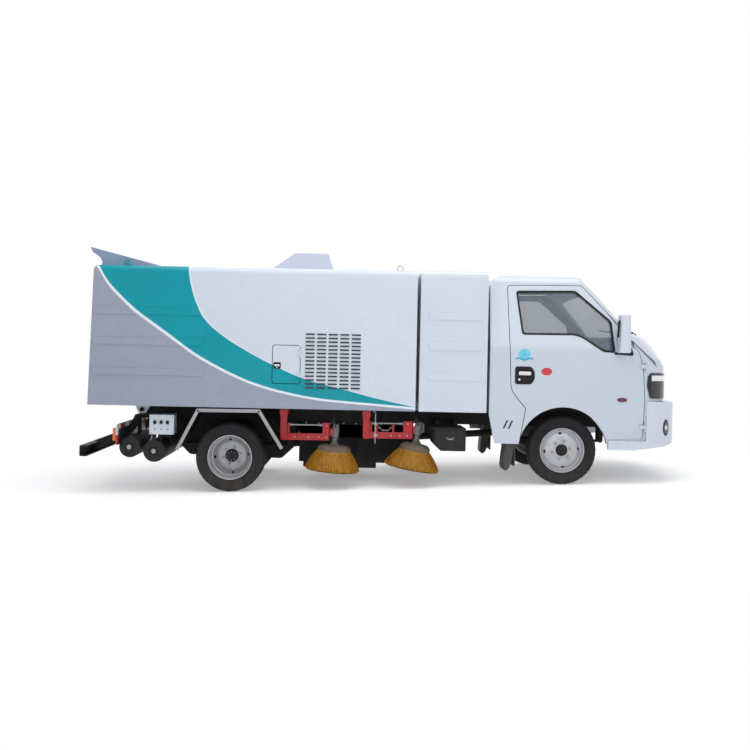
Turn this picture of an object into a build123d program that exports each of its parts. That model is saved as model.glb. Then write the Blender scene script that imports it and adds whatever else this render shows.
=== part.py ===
from build123d import *
from math import asin, atan2, cos, degrees, hypot, pi, radians, sin, sqrt, tan
import os

# Compact street sweeper on a light truck chassis.  Millimetres.
# Everything is modelled in the chassis frame: +X forward, +Y left, +Z up, origin midway between the
# rear wheels' centres, with the frame rails level.  The truck stands nose-down by its rake, so the
# finished pieces are turned about Y and moved onto their wheels when they are written.

# Wheels and rake
WHEEL_BASE = 2898.0
FRONT_AXLE_RISE = 118.0      # front wheel centre above the rear one, square to the rails
TYRE_RADIUS = 300.0
TYRE_WIDTH = 175.0
BEAD_RADIUS = 180.0
RIM_FLANGE_RADIUS = 195.0
RIM_WIDTH = 148.0
RIM_THICKNESS = 6.0
FRONT_WHEEL_Y = 690.0
OUTER_TWIN_Y = 730.0
INNER_TWIN_Y = 530.0
KINGPIN_Y = 570.0
KINGPIN_RADIUS = 16.0
STUB_RADIUS = 22.0
REAR_STUB_RADIUS = 30.0
RUNNING = 0.05               # radial clearance of a shaft in its bore
SEAT_GAP = 0.3               # gap between a seated piece and what carries it
MOVE_GAP = 6.0               # gap round doors and other moving panels

# Frame rails
RAIL_OUTER_Y = 400.0
RAIL_FLANGE = 60.0
RAIL_SHEET = 6.0
RAIL_TOP = 420.0
RAIL_BOTTOM = 300.0
RAIL_REAR = -880.0
RAIL_FRONT = 3740.0
SPRING_Y = 365.0
SPRING_WIDTH = 60.0

# Sweeper body
BODY_HALF_WIDTH = 850.0
BODY_BOTTOM = 437.0
BODY_TOP = 1660.0
BODY_REAR_LOW = -1237.0
BODY_REAR_HIGH = -1203.0
BODY_FRONT = 1601.0
BODY_WALL = 30.0
BODY_EDGE_RADIUS = 55.0
BULKHEAD_X = 300.0
CABINET_REAR = 1631.0
CABINET_FRONT = 2216.0
RIB_DEPTH = 7.0
RIB_HEIGHT = 65.0
RIB_LOW_Z = 733.0
RIB_PITCH = 262.0
RIB_COUNT = 3
TIP_X, TIP_Z = -852.0, 378.0
TIP_PIN_RADIUS = 20.0

# Tipping cylinder, pinned low on the frame and working on the body floor
RAM_LOW_X, RAM_LOW_Z = -250.0, 200.0
RAM_HIGH_X, RAM_HIGH_Z = 450.0, 395.0
RAM_PIN_RADIUS = 15.0
RAM_BARREL_RADIUS = 48.0
RAM_ROD_RADIUS = 28.0
RAM_EYE_WIDTH = 50.0
RAM_NECK_RADIUS = 24.0        # between the clevis plates, clear of them as the barrel swings up

# Cab
CAB_HALF_WIDTH = 820.0
CAB_WALL = 45.0
CAB_REAR = 2245.0
CAB_NOSE = 3893.0
CAB_BOTTOM = 170.0
CAB_ROOF = 1668.0
CAB_CORNER_RADIUS = 260.0
CAB_FRONT_RADIUS = 2600.0
SCREEN_TOP = (3249.0, 1551.0)
SCREEN_FOOT = (3690.0, 1107.0)
ARCH_X, ARCH_Z, ARCH_RADIUS = 2893.0, 107.0, 385.0
GLASS_DEPTH = 14.0
GLASS_THICKNESS = 5.0
FLOOR_TOP = 560.0
FLOOR_THICKNESS = 40.0
FOOTWELL_TOP = 475.0
FOOTWELL_X = 3335.0
FIREWALL_X = 3625.0
BUMPER_NOSE = 3982.0
BUMPER_HALF_WIDTH = 832.0
BUMPER_TOP = 566.0
BUMPER_WALL = 40.0
DOOR_HINGE_X = 3601.0
HINGE_OFFSET = 8.0           # hinge axis outside the panel
HINGE_PIN_RADIUS = 3.5
HINGE_KNUCKLE_RADIUS = 6.0
HINGE_KNUCKLE_LENGTH = 30.0
HINGE_LEAF_SHEET = 5.0

RAKE = degrees(atan2(FRONT_AXLE_RISE, WHEEL_BASE))
pieces = {}


def finish(part, name):
    """Turn a finished piece nose-down onto its wheels and keep it under its name."""
    pieces[name] = Location((0, 0, TYRE_RADIUS)) * Location((0, 0, 0), (0, RAKE, 0)) * part



def polygon(points, radius=0.0, mode=Mode.ADD):
    """Closed outline in the current sketch, its corners rounded by one radius or a list of them."""
    with BuildLine() as boundary:
        FilletPolyline(*points, radius=radius, close=True)
    make_face(boundary.edges(), mode=mode)


def both_sides(part):
    """A piece and its mirror image across the truck's middle plane, as one node."""
    with BuildPart() as pair:
        add(part)
        mirror(about=Plane.XZ)
    return pair.part


def wheel_plane(x, z):
    """Plane for a wheel's section: first axis across the truck, second axis along the radius."""
    return Plane(origin=(x, 0, z), x_dir=(0, 1, 0), z_dir=(1, 0, 0))


# ---- Frame ----
CROSS_MEMBERS = (            # x of the centre, length along x, low z, high z
    (-370.0, 60.0, 310.0, 410.0),
    (620.0, 60.0, 310.0, 410.0),
    (1480.0, 60.0, 310.0, 410.0),
    (2260.0, 60.0, 310.0, 410.0),
    (3560.0, 60.0, 310.0, 410.0),
)
SPRING_HANGERS = (           # x of the eye, z of the eye
    (-500.0, 70.0),
    (500.0, 70.0),
    (WHEEL_BASE - 430.0, 182.0),
    (WHEEL_BASE + 430.0, 182.0),
)
EYE_RADIUS = 24.0
HANGER_THICKNESS = 8.0

with BuildPart() as frame_rails:
    with BuildSketch(Plane.YZ.offset(RAIL_REAR)):
        polygon([
            (RAIL_OUTER_Y, RAIL_BOTTOM), (RAIL_OUTER_Y, RAIL_TOP),
            (RAIL_OUTER_Y - RAIL_FLANGE, RAIL_TOP), (RAIL_OUTER_Y - RAIL_FLANGE, RAIL_TOP - RAIL_SHEET),
            (RAIL_OUTER_Y - RAIL_SHEET, RAIL_TOP - RAIL_SHEET),
            (RAIL_OUTER_Y - RAIL_SHEET, RAIL_BOTTOM + RAIL_SHEET),
            (RAIL_OUTER_Y - RAIL_FLANGE, RAIL_BOTTOM + RAIL_SHEET),
            (RAIL_OUTER_Y - RAIL_FLANGE, RAIL_BOTTOM),
        ])
    extrude(amount=RAIL_FRONT - RAIL_REAR)
    # spring hangers, two plates astride each eye
    for eye_x, eye_z in SPRING_HANGERS:
        for side in (-1, 1):
            plate_y = SPRING_Y + side * (SPRING_WIDTH / 2 + 0.5 + HANGER_THICKNESS / 2)
            with BuildSketch(Plane.XZ.offset(-plate_y)):
                with Locations((eye_x, (eye_z + RAIL_BOTTOM) / 2)):
                    Rectangle(2 * EYE_RADIUS, RAIL_BOTTOM - eye_z)
                with Locations((eye_x, eye_z)):
                    Circle(EYE_RADIUS)
            extrude(amount=HANGER_THICKNESS / 2, both=True)
        with BuildSketch(Plane.XZ.offset(-SPRING_Y)):
            with Locations((eye_x, eye_z)):
                Circle(9)
        extrude(amount=SPRING_WIDTH / 2 + HANGER_THICKNESS, both=True)
    mirror(about=Plane.XZ)
    for middle_x, length, low, high in CROSS_MEMBERS:
        with Locations((middle_x, 0, (low + high) / 2)):
            Box(length, 2 * (RAIL_OUTER_Y - RAIL_SHEET), high - low)
    # tipping pivot, right across both rails
    with BuildSketch(Plane.XZ):
        with Locations((TIP_X, TIP_Z)):
            Circle(TIP_PIN_RADIUS)
    extrude(amount=RAIL_OUTER_Y + 52, both=True)
    # clevis of the tipping cylinder, hung from the cross member behind it
    for side in (-1, 1):
        with BuildSketch(Plane.XZ.offset(side * (RAM_EYE_WIDTH / 2 + 9))):
            polygon([(-398, 314), (-342, 314), (RAM_LOW_X + 20, RAM_LOW_Z + 22),
                     (RAM_LOW_X + 20, RAM_LOW_Z - 26), (RAM_LOW_X - 24, RAM_LOW_Z - 26)], radius=8)
        extrude(amount=6, both=True)
    with BuildSketch(Plane.XZ):
        with Locations((RAM_LOW_X, RAM_LOW_Z)):
            Circle(RAM_PIN_RADIUS)
    extrude(amount=RAM_EYE_WIDTH / 2 + 20, both=True)
    # seams between the rails and everything bolted across them
    for side in (-1, 1):
        with Locations((0, side * (RAIL_OUTER_Y - RAIL_FLANGE - 0.5), (RAIL_TOP + RAIL_BOTTOM) / 2)):
            Box(9000, SEAT_GAP, RAIL_TOP - RAIL_BOTTOM - 2, mode=Mode.SUBTRACT)
finish(frame_rails.part, "frame_rails")

# ---- Springs ----
LEAF_PACK = 28.0


def leaf_spring(middle_x, middle_z, half_length, eye_z):
    """Semi-elliptic spring: a bowed pack with an eye at each end."""
    with BuildPart() as spring:
        with BuildSketch(Plane.XZ.offset(-SPRING_Y)):
            with BuildLine():
                low = ThreePointArc((middle_x - half_length, eye_z - LEAF_PACK / 2), (middle_x, middle_z),
                                    (middle_x + half_length, eye_z - LEAF_PACK / 2))
                high = ThreePointArc((middle_x - half_length, eye_z + LEAF_PACK / 6),
                                     (middle_x, middle_z + LEAF_PACK),
                                     (middle_x + half_length, eye_z + LEAF_PACK / 6))
                Line(low @ 0, high @ 0)
                Line(low @ 1, high @ 1)
            make_face()
            with Locations((middle_x - half_length, eye_z), (middle_x + half_length, eye_z)):
                Circle(EYE_RADIUS - 2)
        extrude(amount=SPRING_WIDTH / 2, both=True)
        with BuildSketch(Plane.XZ.offset(-SPRING_Y)):
            with Locations((middle_x - half_length, eye_z), (middle_x + half_length, eye_z)):
                Circle(9 + 0.2)
        extrude(amount=SPRING_WIDTH, both=True, mode=Mode.SUBTRACT)
    return spring.part


REAR_AXLE_RADIUS = 45.0
SPRING_SEAT = 6.0
FRONT_BEAM_TOP = FRONT_AXLE_RISE + 12.0
rear_spring = leaf_spring(0, REAR_AXLE_RADIUS + SPRING_SEAT, 500.0, 70.0)
front_spring = leaf_spring(WHEEL_BASE, FRONT_BEAM_TOP + SEAT_GAP, 430.0, 182.0)
with BuildPart() as leaf_springs:
    add(both_sides(rear_spring))
    add(both_sides(front_spring))
finish(leaf_springs.part, "leaf_springs")

# ---- Rear axle with its prop shaft ----
DRUM_RADIUS = 135.0
DRUM_INNER_Y = 404.0
DRUM_OUTER_Y = 438.0
DIFF_RADIUS = 130.0
PROP_RADIUS = 32.0
GEARBOX_REAR_X = 2420.0

with BuildPart() as rear_axle:
    with BuildSketch(wheel_plane(0, 0)):
        # half section of tube, drum and stub along the truck's width
        polygon([(0, 0), (0, DIFF_RADIUS), (70, DIFF_RADIUS - 18), (125, REAR_AXLE_RADIUS),
                 (DRUM_INNER_Y, REAR_AXLE_RADIUS), (DRUM_INNER_Y, DRUM_RADIUS),
                 (DRUM_OUTER_Y, DRUM_RADIUS), (DRUM_OUTER_Y, REAR_STUB_RADIUS),
                 (OUTER_TWIN_Y - 20, REAR_STUB_RADIUS), (OUTER_TWIN_Y - 20, 0)])
    revolve(axis=Axis.Y)
    mirror(about=Plane.XZ)
    for side in (-1, 1):     # spring seats
        with Locations((0, side * SPRING_Y, (REAR_AXLE_RADIUS + SPRING_SEAT - SEAT_GAP) / 2)):
            Box(110, SPRING_WIDTH, REAR_AXLE_RADIUS + SPRING_SEAT - SEAT_GAP)
    # pinion nose and prop shaft, rising slightly to the gearbox
    with BuildSketch(Plane(origin=(60, 0, 20), z_dir=(GEARBOX_REAR_X - 60, 0, 200 - 20))):
        Circle(60)
    extrude(amount=140)
    with BuildSketch(Plane(origin=(60, 0, 20), z_dir=(GEARBOX_REAR_X - 60, 0, 200 - 20))):
        Circle(PROP_RADIUS)
    extrude(amount=hypot(GEARBOX_REAR_X - 60, 180))
finish(rear_axle.part, "rear_axle")

# ---- Front axle ----
BEAM_HALF_DEPTH = 30.0
BEAM_END_HALF_HEIGHT = 38.0
KINGPIN_BOSS_RADIUS = 28.0
YOKE_HALF_HEIGHT = 74.0

with BuildPart() as front_axle:
    with BuildSketch(Plane.YZ.offset(WHEEL_BASE)):
        polygon([(-KINGPIN_Y, FRONT_AXLE_RISE - 20), (-KINGPIN_Y, FRONT_AXLE_RISE + 20),
                 (-450, FRONT_BEAM_TOP), (450, FRONT_BEAM_TOP),
                 (KINGPIN_Y, FRONT_AXLE_RISE + 20), (KINGPIN_Y, FRONT_AXLE_RISE - 20),
                 (430, FRONT_BEAM_TOP - 75), (-430, FRONT_BEAM_TOP - 75)])
    extrude(amount=BEAM_HALF_DEPTH, both=True)
    for side in (-1, 1):     # kingpin boss and pin; the beam's neck is cut narrow beside it
        with Locations((WHEEL_BASE, side * (KINGPIN_Y - 15), FRONT_AXLE_RISE)):
            Box(2 * BEAM_HALF_DEPTH + 2, 50, 120, mode=Mode.SUBTRACT)
        with Locations((WHEEL_BASE, side * (KINGPIN_Y - 20), FRONT_AXLE_RISE)):
            Box(32, 60, 40)
        with Locations((WHEEL_BASE, side * KINGPIN_Y, FRONT_AXLE_RISE)):
            Cylinder(KINGPIN_BOSS_RADIUS, 2 * BEAM_END_HALF_HEIGHT)
            Cylinder(KINGPIN_RADIUS, 2 * YOKE_HALF_HEIGHT + 4)
finish(front_axle.part, "front_axle")

# ---- Steering knuckles ----
with BuildPart() as knuckle:
    with Locations((WHEEL_BASE, KINGPIN_Y + 8, FRONT_AXLE_RISE)):
        Box(64, 80, 2 * YOKE_HALF_HEIGHT)
    with Locations((WHEEL_BASE, KINGPIN_Y - 14, FRONT_AXLE_RISE)):
        Box(70, 94, 2 * (BEAM_END_HALF_HEIGHT + 2), mode=Mode.SUBTRACT)
    with BuildSketch(Plane.XZ.offset(-(KINGPIN_Y + 40))):
        with Locations((WHEEL_BASE, FRONT_AXLE_RISE)):
            Circle(115)
    extrude(amount=-14)
    with BuildSketch(Plane.XZ.offset(-(KINGPIN_Y + 48))):
        with Locations((WHEEL_BASE, FRONT_AXLE_RISE)):
            Circle(STUB_RADIUS)
    extrude(amount=-(FRONT_WHEEL_Y + 50 - KINGPIN_Y - 48))
    # steering arm, reaching back and inwards
    with Locations((WHEEL_BASE - 75, KINGPIN_Y + 2, FRONT_AXLE_RISE - YOKE_HALF_HEIGHT + 10)):
        Box(130, 34, 20)
    with Locations((WHEEL_BASE, KINGPIN_Y, FRONT_AXLE_RISE)):
        Cylinder(KINGPIN_RADIUS + RUNNING, 4 * YOKE_HALF_HEIGHT, mode=Mode.SUBTRACT)
finish(knuckle.part, "knuckle_left")
finish(mirror(knuckle.part, about=Plane.XZ), "knuckle_right")


# ---- Wheels ----
def tyre(x, y, z):
    """Tyre as a turned section: bead, bulged wall, shoulder and nearly flat tread."""
    half = TYRE_WIDTH / 2
    bead_half = RIM_WIDTH / 2 - RIM_THICKNESS - 1
    with BuildPart() as ring:
        with BuildSketch(wheel_plane(x, z)):
            with BuildLine() as outline:
                tread = ThreePointArc((y - half + 22, TYRE_RADIUS - 5), (y, TYRE_RADIUS),
                                      (y + half - 22, TYRE_RADIUS - 5))
                for side, end in ((-1, tread @ 0), (1, tread @ 1)):
                    shoulder = ThreePointArc(end, (y + side * (half - 7), TYRE_RADIUS - 14),
                                             (y + side * (half - 2), TYRE_RADIUS - 30))
                    wall = ThreePointArc(shoulder @ 1, (y + side * half, TYRE_RADIUS - 60),
                                         (y + side * bead_half, RIM_FLANGE_RADIUS + 2))
                    Line(wall @ 1, (y + side * bead_half, BEAD_RADIUS))
                Line((y - bead_half, BEAD_RADIUS), (y + bead_half, BEAD_RADIUS))
            make_face()
        revolve(axis=Axis((x, 0, z), (0, 1, 0)))
    return ring.part


def rim_section(y, side, rim_offset, hub_offset):
    """Points of a rim's turned section: flanged barrel, and a dished disc that reaches in to the hub."""
    half = RIM_WIDTH / 2
    barrel = BEAD_RADIUS - SEAT_GAP
    inner = barrel - RIM_THICKNESS
    at_rim = y + side * rim_offset
    at_hub = y + side * hub_offset
    back = side * DISC_THICKNESS
    return [
        (y - side * half, RIM_FLANGE_RADIUS), (y - side * (half - RIM_THICKNESS), RIM_FLANGE_RADIUS),
        (y - side * (half - RIM_THICKNESS), barrel), (y + side * (half - RIM_THICKNESS), barrel),
        (y + side * (half - RIM_THICKNESS), RIM_FLANGE_RADIUS), (y + side * half, RIM_FLANGE_RADIUS),
        (y + side * half, inner), (at_rim, inner), (at_hub, DISC_FLAT_RADIUS), (at_hub, 0),
        (at_hub - back, 0), (at_hub - back, DISC_FLAT_RADIUS - 4), (at_rim - 1.5 * back, inner),
        (y - side * half, inner),
    ]


FRONT_RIM_OFFSET = 34.0      # where the disc meets the barrel, and where it meets the hub
FRONT_HUB_OFFSET = 52.0
REAR_RIM_OFFSET = -44.0
REAR_HUB_OFFSET = -92.0      # a twin's disc lies far inside its outer flange
DISC_THICKNESS = 8.0
DISC_FLAT_RADIUS = 128.0
HUB_RADIUS = 62.0

for name, side in (("left", 1), ("right", -1)):
    finish(tyre(WHEEL_BASE, side * FRONT_WHEEL_Y, FRONT_AXLE_RISE), f"front_tyre_{name}")
    with BuildPart() as front_rim:
        with BuildSketch(wheel_plane(WHEEL_BASE, FRONT_AXLE_RISE)):
            polygon(rim_section(side * FRONT_WHEEL_Y, side, FRONT_RIM_OFFSET, FRONT_HUB_OFFSET))
            polygon([(side * (KINGPIN_Y + 62), 0), (side * (KINGPIN_Y + 62), HUB_RADIUS),
                     (side * (FRONT_WHEEL_Y + 62), HUB_RADIUS - 10), (side * (FRONT_WHEEL_Y + 68), 0)])
            polygon([(side * (KINGPIN_Y + 60), 0), (side * (KINGPIN_Y + 60), STUB_RADIUS + RUNNING),
                     (side * (FRONT_WHEEL_Y + 52), STUB_RADIUS + RUNNING), (side * (FRONT_WHEEL_Y + 52), 0)],
                    mode=Mode.SUBTRACT)
        revolve(axis=Axis((WHEEL_BASE, 0, FRONT_AXLE_RISE), (0, 1, 0)))
    finish(front_rim.part, f"front_rim_{name}")

for name, side in (("left", 1), ("right", -1)):
    with BuildPart() as rear_tyres:
        add(tyre(0, side * OUTER_TWIN_Y, 0))
        add(tyre(0, side * INNER_TWIN_Y, 0))
    finish(rear_tyres.part, f"rear_tyres_{name}")
    with BuildPart() as rear_rims:
        with BuildSketch(wheel_plane(0, 0)):
            polygon(rim_section(side * OUTER_TWIN_Y, side, REAR_RIM_OFFSET, REAR_HUB_OFFSET))
            polygon(rim_section(side * INNER_TWIN_Y, -side, REAR_RIM_OFFSET, REAR_HUB_OFFSET))
            polygon([(side * (DRUM_OUTER_Y + 4), 0), (side * (DRUM_OUTER_Y + 4), 78),
                     (side * (OUTER_TWIN_Y - 30), 78), (side * (OUTER_TWIN_Y - 5), 56), (side * (OUTER_TWIN_Y), 0)])
            polygon([(side * DRUM_OUTER_Y, 0), (side * DRUM_OUTER_Y, REAR_STUB_RADIUS + RUNNING),
                     (side * (OUTER_TWIN_Y - 19), REAR_STUB_RADIUS + RUNNING), (side * (OUTER_TWIN_Y - 19), 0)],
                    mode=Mode.SUBTRACT)
        revolve(axis=Axis.Y)
    finish(rear_rims.part, f"rear_rims_{name}")

# ---- Engine and gearbox, one plain block between the rails ----
with BuildPart() as engine:
    with BuildSketch(Plane.XZ):
        polygon([(2460, 190), (2460, 400), (2700, 505), (3180, 505), (3180, 190)], radius=20)
    extrude(amount=235, both=True)
    with BuildSketch(Plane.XY.offset(340)):      # mounts out to both rails
        with Locations((2620, 0), (3080, 0)):
            Rectangle(60, 2 * (RAIL_OUTER_Y - RAIL_SHEET - SEAT_GAP))
    extrude(amount=30)
finish(engine.part, "engine")

# ---- Tanks and boxes hung on the frame ----
AIR_TANKS = (                # x, z, radius
    (-883.0, 70.0, 93.0),
    (-669.0, 39.0, 98.0),
)
AIR_TANK_NEAR_Y = -780.0
AIR_TANK_FAR_Y = -60.0
with BuildPart() as air_tanks:
    for tank_x, tank_z, tank_radius in AIR_TANKS:
        with BuildSketch(wheel_plane(tank_x, tank_z)):
            polygon([(AIR_TANK_NEAR_Y, 0), (AIR_TANK_NEAR_Y, 30), (AIR_TANK_NEAR_Y + 12, 34),
                     (AIR_TANK_NEAR_Y + 12, tank_radius), (AIR_TANK_FAR_Y, tank_radius), (AIR_TANK_FAR_Y, 0)],
                    radius=[0, 0, 0, 20, 20, 0])
        revolve(axis=Axis((tank_x, 0, tank_z), (0, 1, 0)))
        with BuildSketch(Plane.XZ.offset(SPRING_Y)):
            with Locations((tank_x, (tank_z + RAIL_BOTTOM) / 2)):
                Rectangle(30, RAIL_BOTTOM - tank_z)
        extrude(amount=24, both=True)
finish(air_tanks.part, "air_tanks")

FUEL_TANK = (1795.0, 2110.0, 80.0, 292.0)      # rear x, front x, low z, high z
SIDE_BOX_OUTER_Y = 790.0
with BuildPart() as fuel_tank:
    rear_x, front_x, low_z, high_z = FUEL_TANK
    with BuildSketch(Plane.YZ.offset(rear_x)):
        with Locations(((RAIL_OUTER_Y + 30 + SIDE_BOX_OUTER_Y) / 2, (low_z + high_z) / 2)):
            RectangleRounded(SIDE_BOX_OUTER_Y - RAIL_OUTER_Y - 30, high_z - low_z, 55)
    extrude(amount=front_x - rear_x)
    for strap_x in (rear_x + 80, front_x - 80):
        with Locations((strap_x, (RAIL_OUTER_Y + 520) / 2, high_z + 24)):
            Box(40, 520 - RAIL_OUTER_Y, 36)
        with Locations((strap_x, 480, high_z + 4)):
            Box(40, 40, 30)
finish(fuel_tank.part, "fuel_tank")

TOOL_BOX = (1773.0, 2052.0, 94.0, 295.0)
with BuildPart() as tool_box:
    rear_x, front_x, low_z, high_z = TOOL_BOX
    with BuildSketch(Plane.XZ.offset(RAIL_OUTER_Y + 30)):
        polygon([(rear_x, high_z), (rear_x, low_z + 55), (rear_x + 60, low_z), (front_x, low_z), (front_x, high_z)],
                radius=[6, 20, 20, 12, 6])
    extrude(amount=SIDE_BOX_OUTER_Y - RAIL_OUTER_Y - 30)
    with BuildSketch(Plane.XZ.offset(SIDE_BOX_OUTER_Y)):       # raised lid
        polygon([(rear_x + 14, high_z - 12), (rear_x + 14, low_z + 62), (rear_x + 66, low_z + 14),
                 (front_x - 12, low_z + 14), (front_x - 12, high_z - 12)], radius=10)
    extrude(amount=10)
    for bracket_x in (rear_x + 60, front_x - 60):
        with Locations((bracket_x, -(RAIL_OUTER_Y + 520) / 2, high_z + 22)):
            Box(40, 520 - RAIL_OUTER_Y, 44)
finish(tool_box.part, "tool_box")

CONTROL_BOX = (-711.0, -495.0, 185.0, 355.0)
with BuildPart() as control_box:
    rear_x, front_x, low_z, high_z = CONTROL_BOX
    with BuildSketch(Plane.XZ.offset(650)):
        with Locations(((rear_x + front_x) / 2, (low_z + high_z) / 2)):
            RectangleRounded(front_x - rear_x, high_z - low_z, 8)
    extrude(amount=130)
    fillet(control_box.faces().sort_by(Axis.Y)[0].edges(), 6)
    with Locations(((rear_x + front_x) / 2, -(RAIL_OUTER_Y + 655) / 2, high_z - 20)):
        Box(120, 655 - RAIL_OUTER_Y, 24)
    for switch in (-1, 0, 1):
        with BuildSketch(Plane.XZ.offset(780)):
            with Locations(((rear_x + front_x) / 2 + switch * 45, 268)):
                Circle(11)
        extrude(amount=9)
finish(control_box.part, "control_box")

# ---- Rear bumper, light bar and tail lamps ----
BUMPER_BAR_X = -1276.0
BUMPER_BAR_Z = 32.0
BUMPER_BAR_DEPTH = 70.0
BUMPER_BAR_HEIGHT = 96.0
BUMPER_BAR_HALF = 800.0
BUMPER_ARM_SHEET = 10.0
BUMPER_ARM_Y = RAIL_OUTER_Y - RAIL_SHEET / 2
with BuildPart() as rear_bumper:
    with BuildSketch(Plane.XZ):
        with Locations((BUMPER_BAR_X, BUMPER_BAR_Z)):
            RectangleRounded(BUMPER_BAR_DEPTH, BUMPER_BAR_HEIGHT, 10)
        with Locations((BUMPER_BAR_X + 12, BUMPER_BAR_Z)):
            Rectangle(BUMPER_BAR_DEPTH + 10, BUMPER_BAR_HEIGHT - 24, mode=Mode.SUBTRACT)
    extrude(amount=BUMPER_BAR_HALF, both=True)
    for side in (-1, 1):     # drop arms from the rails' ends
        with BuildSketch(Plane.XZ.offset(side * BUMPER_ARM_Y)):
            polygon([(BUMPER_BAR_X - 30, BUMPER_BAR_Z + 40), (-1000, 198), (-950, 262), (-920, RAIL_BOTTOM + 30),
                     (RAIL_REAR, RAIL_BOTTOM + 40), (RAIL_REAR, RAIL_BOTTOM - 60), (-1000, 105),
                     (BUMPER_BAR_X + 12, BUMPER_BAR_Z - 30), (BUMPER_BAR_X - 30, BUMPER_BAR_Z - 30)])
        extrude(amount=BUMPER_ARM_SHEET / 2, both=True)
finish(rear_bumper.part, "rear_bumper")

LIGHT_BAR_X = -990.0
LIGHT_BAR_LOW = 86.0
LIGHT_BAR_HIGH = 268.0
LIGHT_BAR_HALF = 800.0
with BuildPart() as rear_light_bar:
    with BuildSketch(Plane.YZ.offset(LIGHT_BAR_X)):
        with Locations((0, (LIGHT_BAR_LOW + LIGHT_BAR_HIGH) / 2)):
            RectangleRounded(2 * LIGHT_BAR_HALF, LIGHT_BAR_HIGH - LIGHT_BAR_LOW, 12)
        for side in (-1, 1):     # notched over the bumper's arms
            with Locations((side * BUMPER_ARM_Y, LIGHT_BAR_HIGH)):
                Rectangle(BUMPER_ARM_SHEET + 2 * SEAT_GAP, 2 * (LIGHT_BAR_HIGH - 108), mode=Mode.SUBTRACT)
        with Locations((0, LIGHT_BAR_LOW)):
            Rectangle(520, 90, mode=Mode.SUBTRACT)
    extrude(amount=6)
finish(rear_light_bar.part, "rear_light_bar")

TAIL_LAMP_Y = 610.0
with BuildPart() as tail_lamps:
    for side in (-1, 1):
        with BuildSketch(Plane.YZ.offset(LIGHT_BAR_X)):
            with Locations((side * TAIL_LAMP_Y, (LIGHT_BAR_LOW + LIGHT_BAR_HIGH) / 2)):
                RectangleRounded(330, 110, 20)
        extrude(amount=-40)
finish(tail_lamps.part, "tail_lamps")

# ---- Rear mudguards and front mud flaps ----
GUARD_OUTLINE = ((-453.0, 66.0), (-280.0, 408.0), (250.0, 412.0), (450.0, 95.0))
GUARD_SHEET = 6.0
GUARD_INNER_Y = 425.0
FLAP_X = 2486.0
FLAP_LOW = -29.0
FLAP_HIGH = 245.0
FLAP_INNER_Y = 575.0
FLAP_OUTER_Y = CAB_HALF_WIDTH - CAB_WALL - SEAT_GAP
with BuildPart() as guard:
    with BuildSketch(Plane.XZ.offset(-GUARD_INNER_Y)):
        with BuildLine() as sheet_line:
            FilletPolyline(*GUARD_OUTLINE, radius=40)
        trace(sheet_line.line, line_width=GUARD_SHEET)
    extrude(amount=-(BODY_HALF_WIDTH - GUARD_INNER_Y))
    with Locations((-120, RAIL_OUTER_Y, 398), (120, RAIL_OUTER_Y, 398)):
        Box(60, GUARD_INNER_Y - RAIL_OUTER_Y + 2 * GUARD_SHEET, 20, align=(Align.CENTER, Align.MIN, Align.CENTER))
finish(both_sides(guard.part), "rear_mudguards")

with BuildPart() as flap:
    with BuildSketch(Plane.YZ.offset(FLAP_X)):
        with Locations(((FLAP_INNER_Y + FLAP_OUTER_Y) / 2, (FLAP_LOW + FLAP_HIGH) / 2)):
            Rectangle(FLAP_OUTER_Y - FLAP_INNER_Y, FLAP_HIGH - FLAP_LOW)
    extrude(amount=-8)
finish(both_sides(flap.part), "front_mud_flaps")

# ---- Suction nozzle under the middle, with its duct ----
NOZZLE_REAR, NOZZLE_FRONT = 620.0, 1290.0
NOZZLE_HALF = 340.0
NOZZLE_LOW, NOZZLE_HIGH = -125.0, 10.0
DUCT_RADIUS = 85.0
DUCT_Y = 170.0
with BuildPart() as suction_nozzle:
    with BuildSketch(Plane.XZ):
        polygon([(NOZZLE_REAR, NOZZLE_LOW), (NOZZLE_REAR, NOZZLE_HIGH - 40), (NOZZLE_REAR + 90, NOZZLE_HIGH),
                 (NOZZLE_FRONT - 150, NOZZLE_HIGH), (NOZZLE_FRONT, NOZZLE_HIGH - 70), (NOZZLE_FRONT, NOZZLE_LOW)],
                radius=[10, 50, 60, 60, 40, 10])
    extrude(amount=NOZZLE_HALF, both=True)
    with BuildSketch(Plane.XZ):      # hollow underneath
        polygon([(NOZZLE_REAR + 12, NOZZLE_LOW - 5), (NOZZLE_REAR + 12, NOZZLE_HIGH - 60),
                 (NOZZLE_REAR + 100, NOZZLE_HIGH - 12), (NOZZLE_FRONT - 160, NOZZLE_HIGH - 12),
                 (NOZZLE_FRONT - 12, NOZZLE_HIGH - 80), (NOZZLE_FRONT - 12, NOZZLE_LOW - 5)])
    extrude(amount=NOZZLE_HALF - 12, both=True, mode=Mode.SUBTRACT)
    # duct up between the rails, and arms back to the cross member
    with BuildSketch(Plane.XY.offset(NOZZLE_HIGH - 6)):
        with Locations((NOZZLE_REAR + 260, DUCT_Y)):
            Circle(DUCT_RADIUS)
    extrude(amount=BODY_BOTTOM - 12 - NOZZLE_HIGH + 6)
    with BuildSketch(Plane.XY.offset(NOZZLE_LOW + 40)):
        with Locations((NOZZLE_REAR + 260, DUCT_Y)):
            Circle(DUCT_RADIUS - 8)
    extrude(amount=BODY_BOTTOM - NOZZLE_LOW, mode=Mode.SUBTRACT)
    for side in (-1, 1):
        with BuildSketch(Plane.XZ.offset(side * 300)):
            polygon([(1450, 310), (1510, 310), (1510, 260), (NOZZLE_FRONT - 40, NOZZLE_HIGH - 60),
                     (NOZZLE_FRONT - 100, NOZZLE_HIGH - 60)])
        extrude(amount=10, both=True)
finish(suction_nozzle.part, "suction_nozzle")

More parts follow.
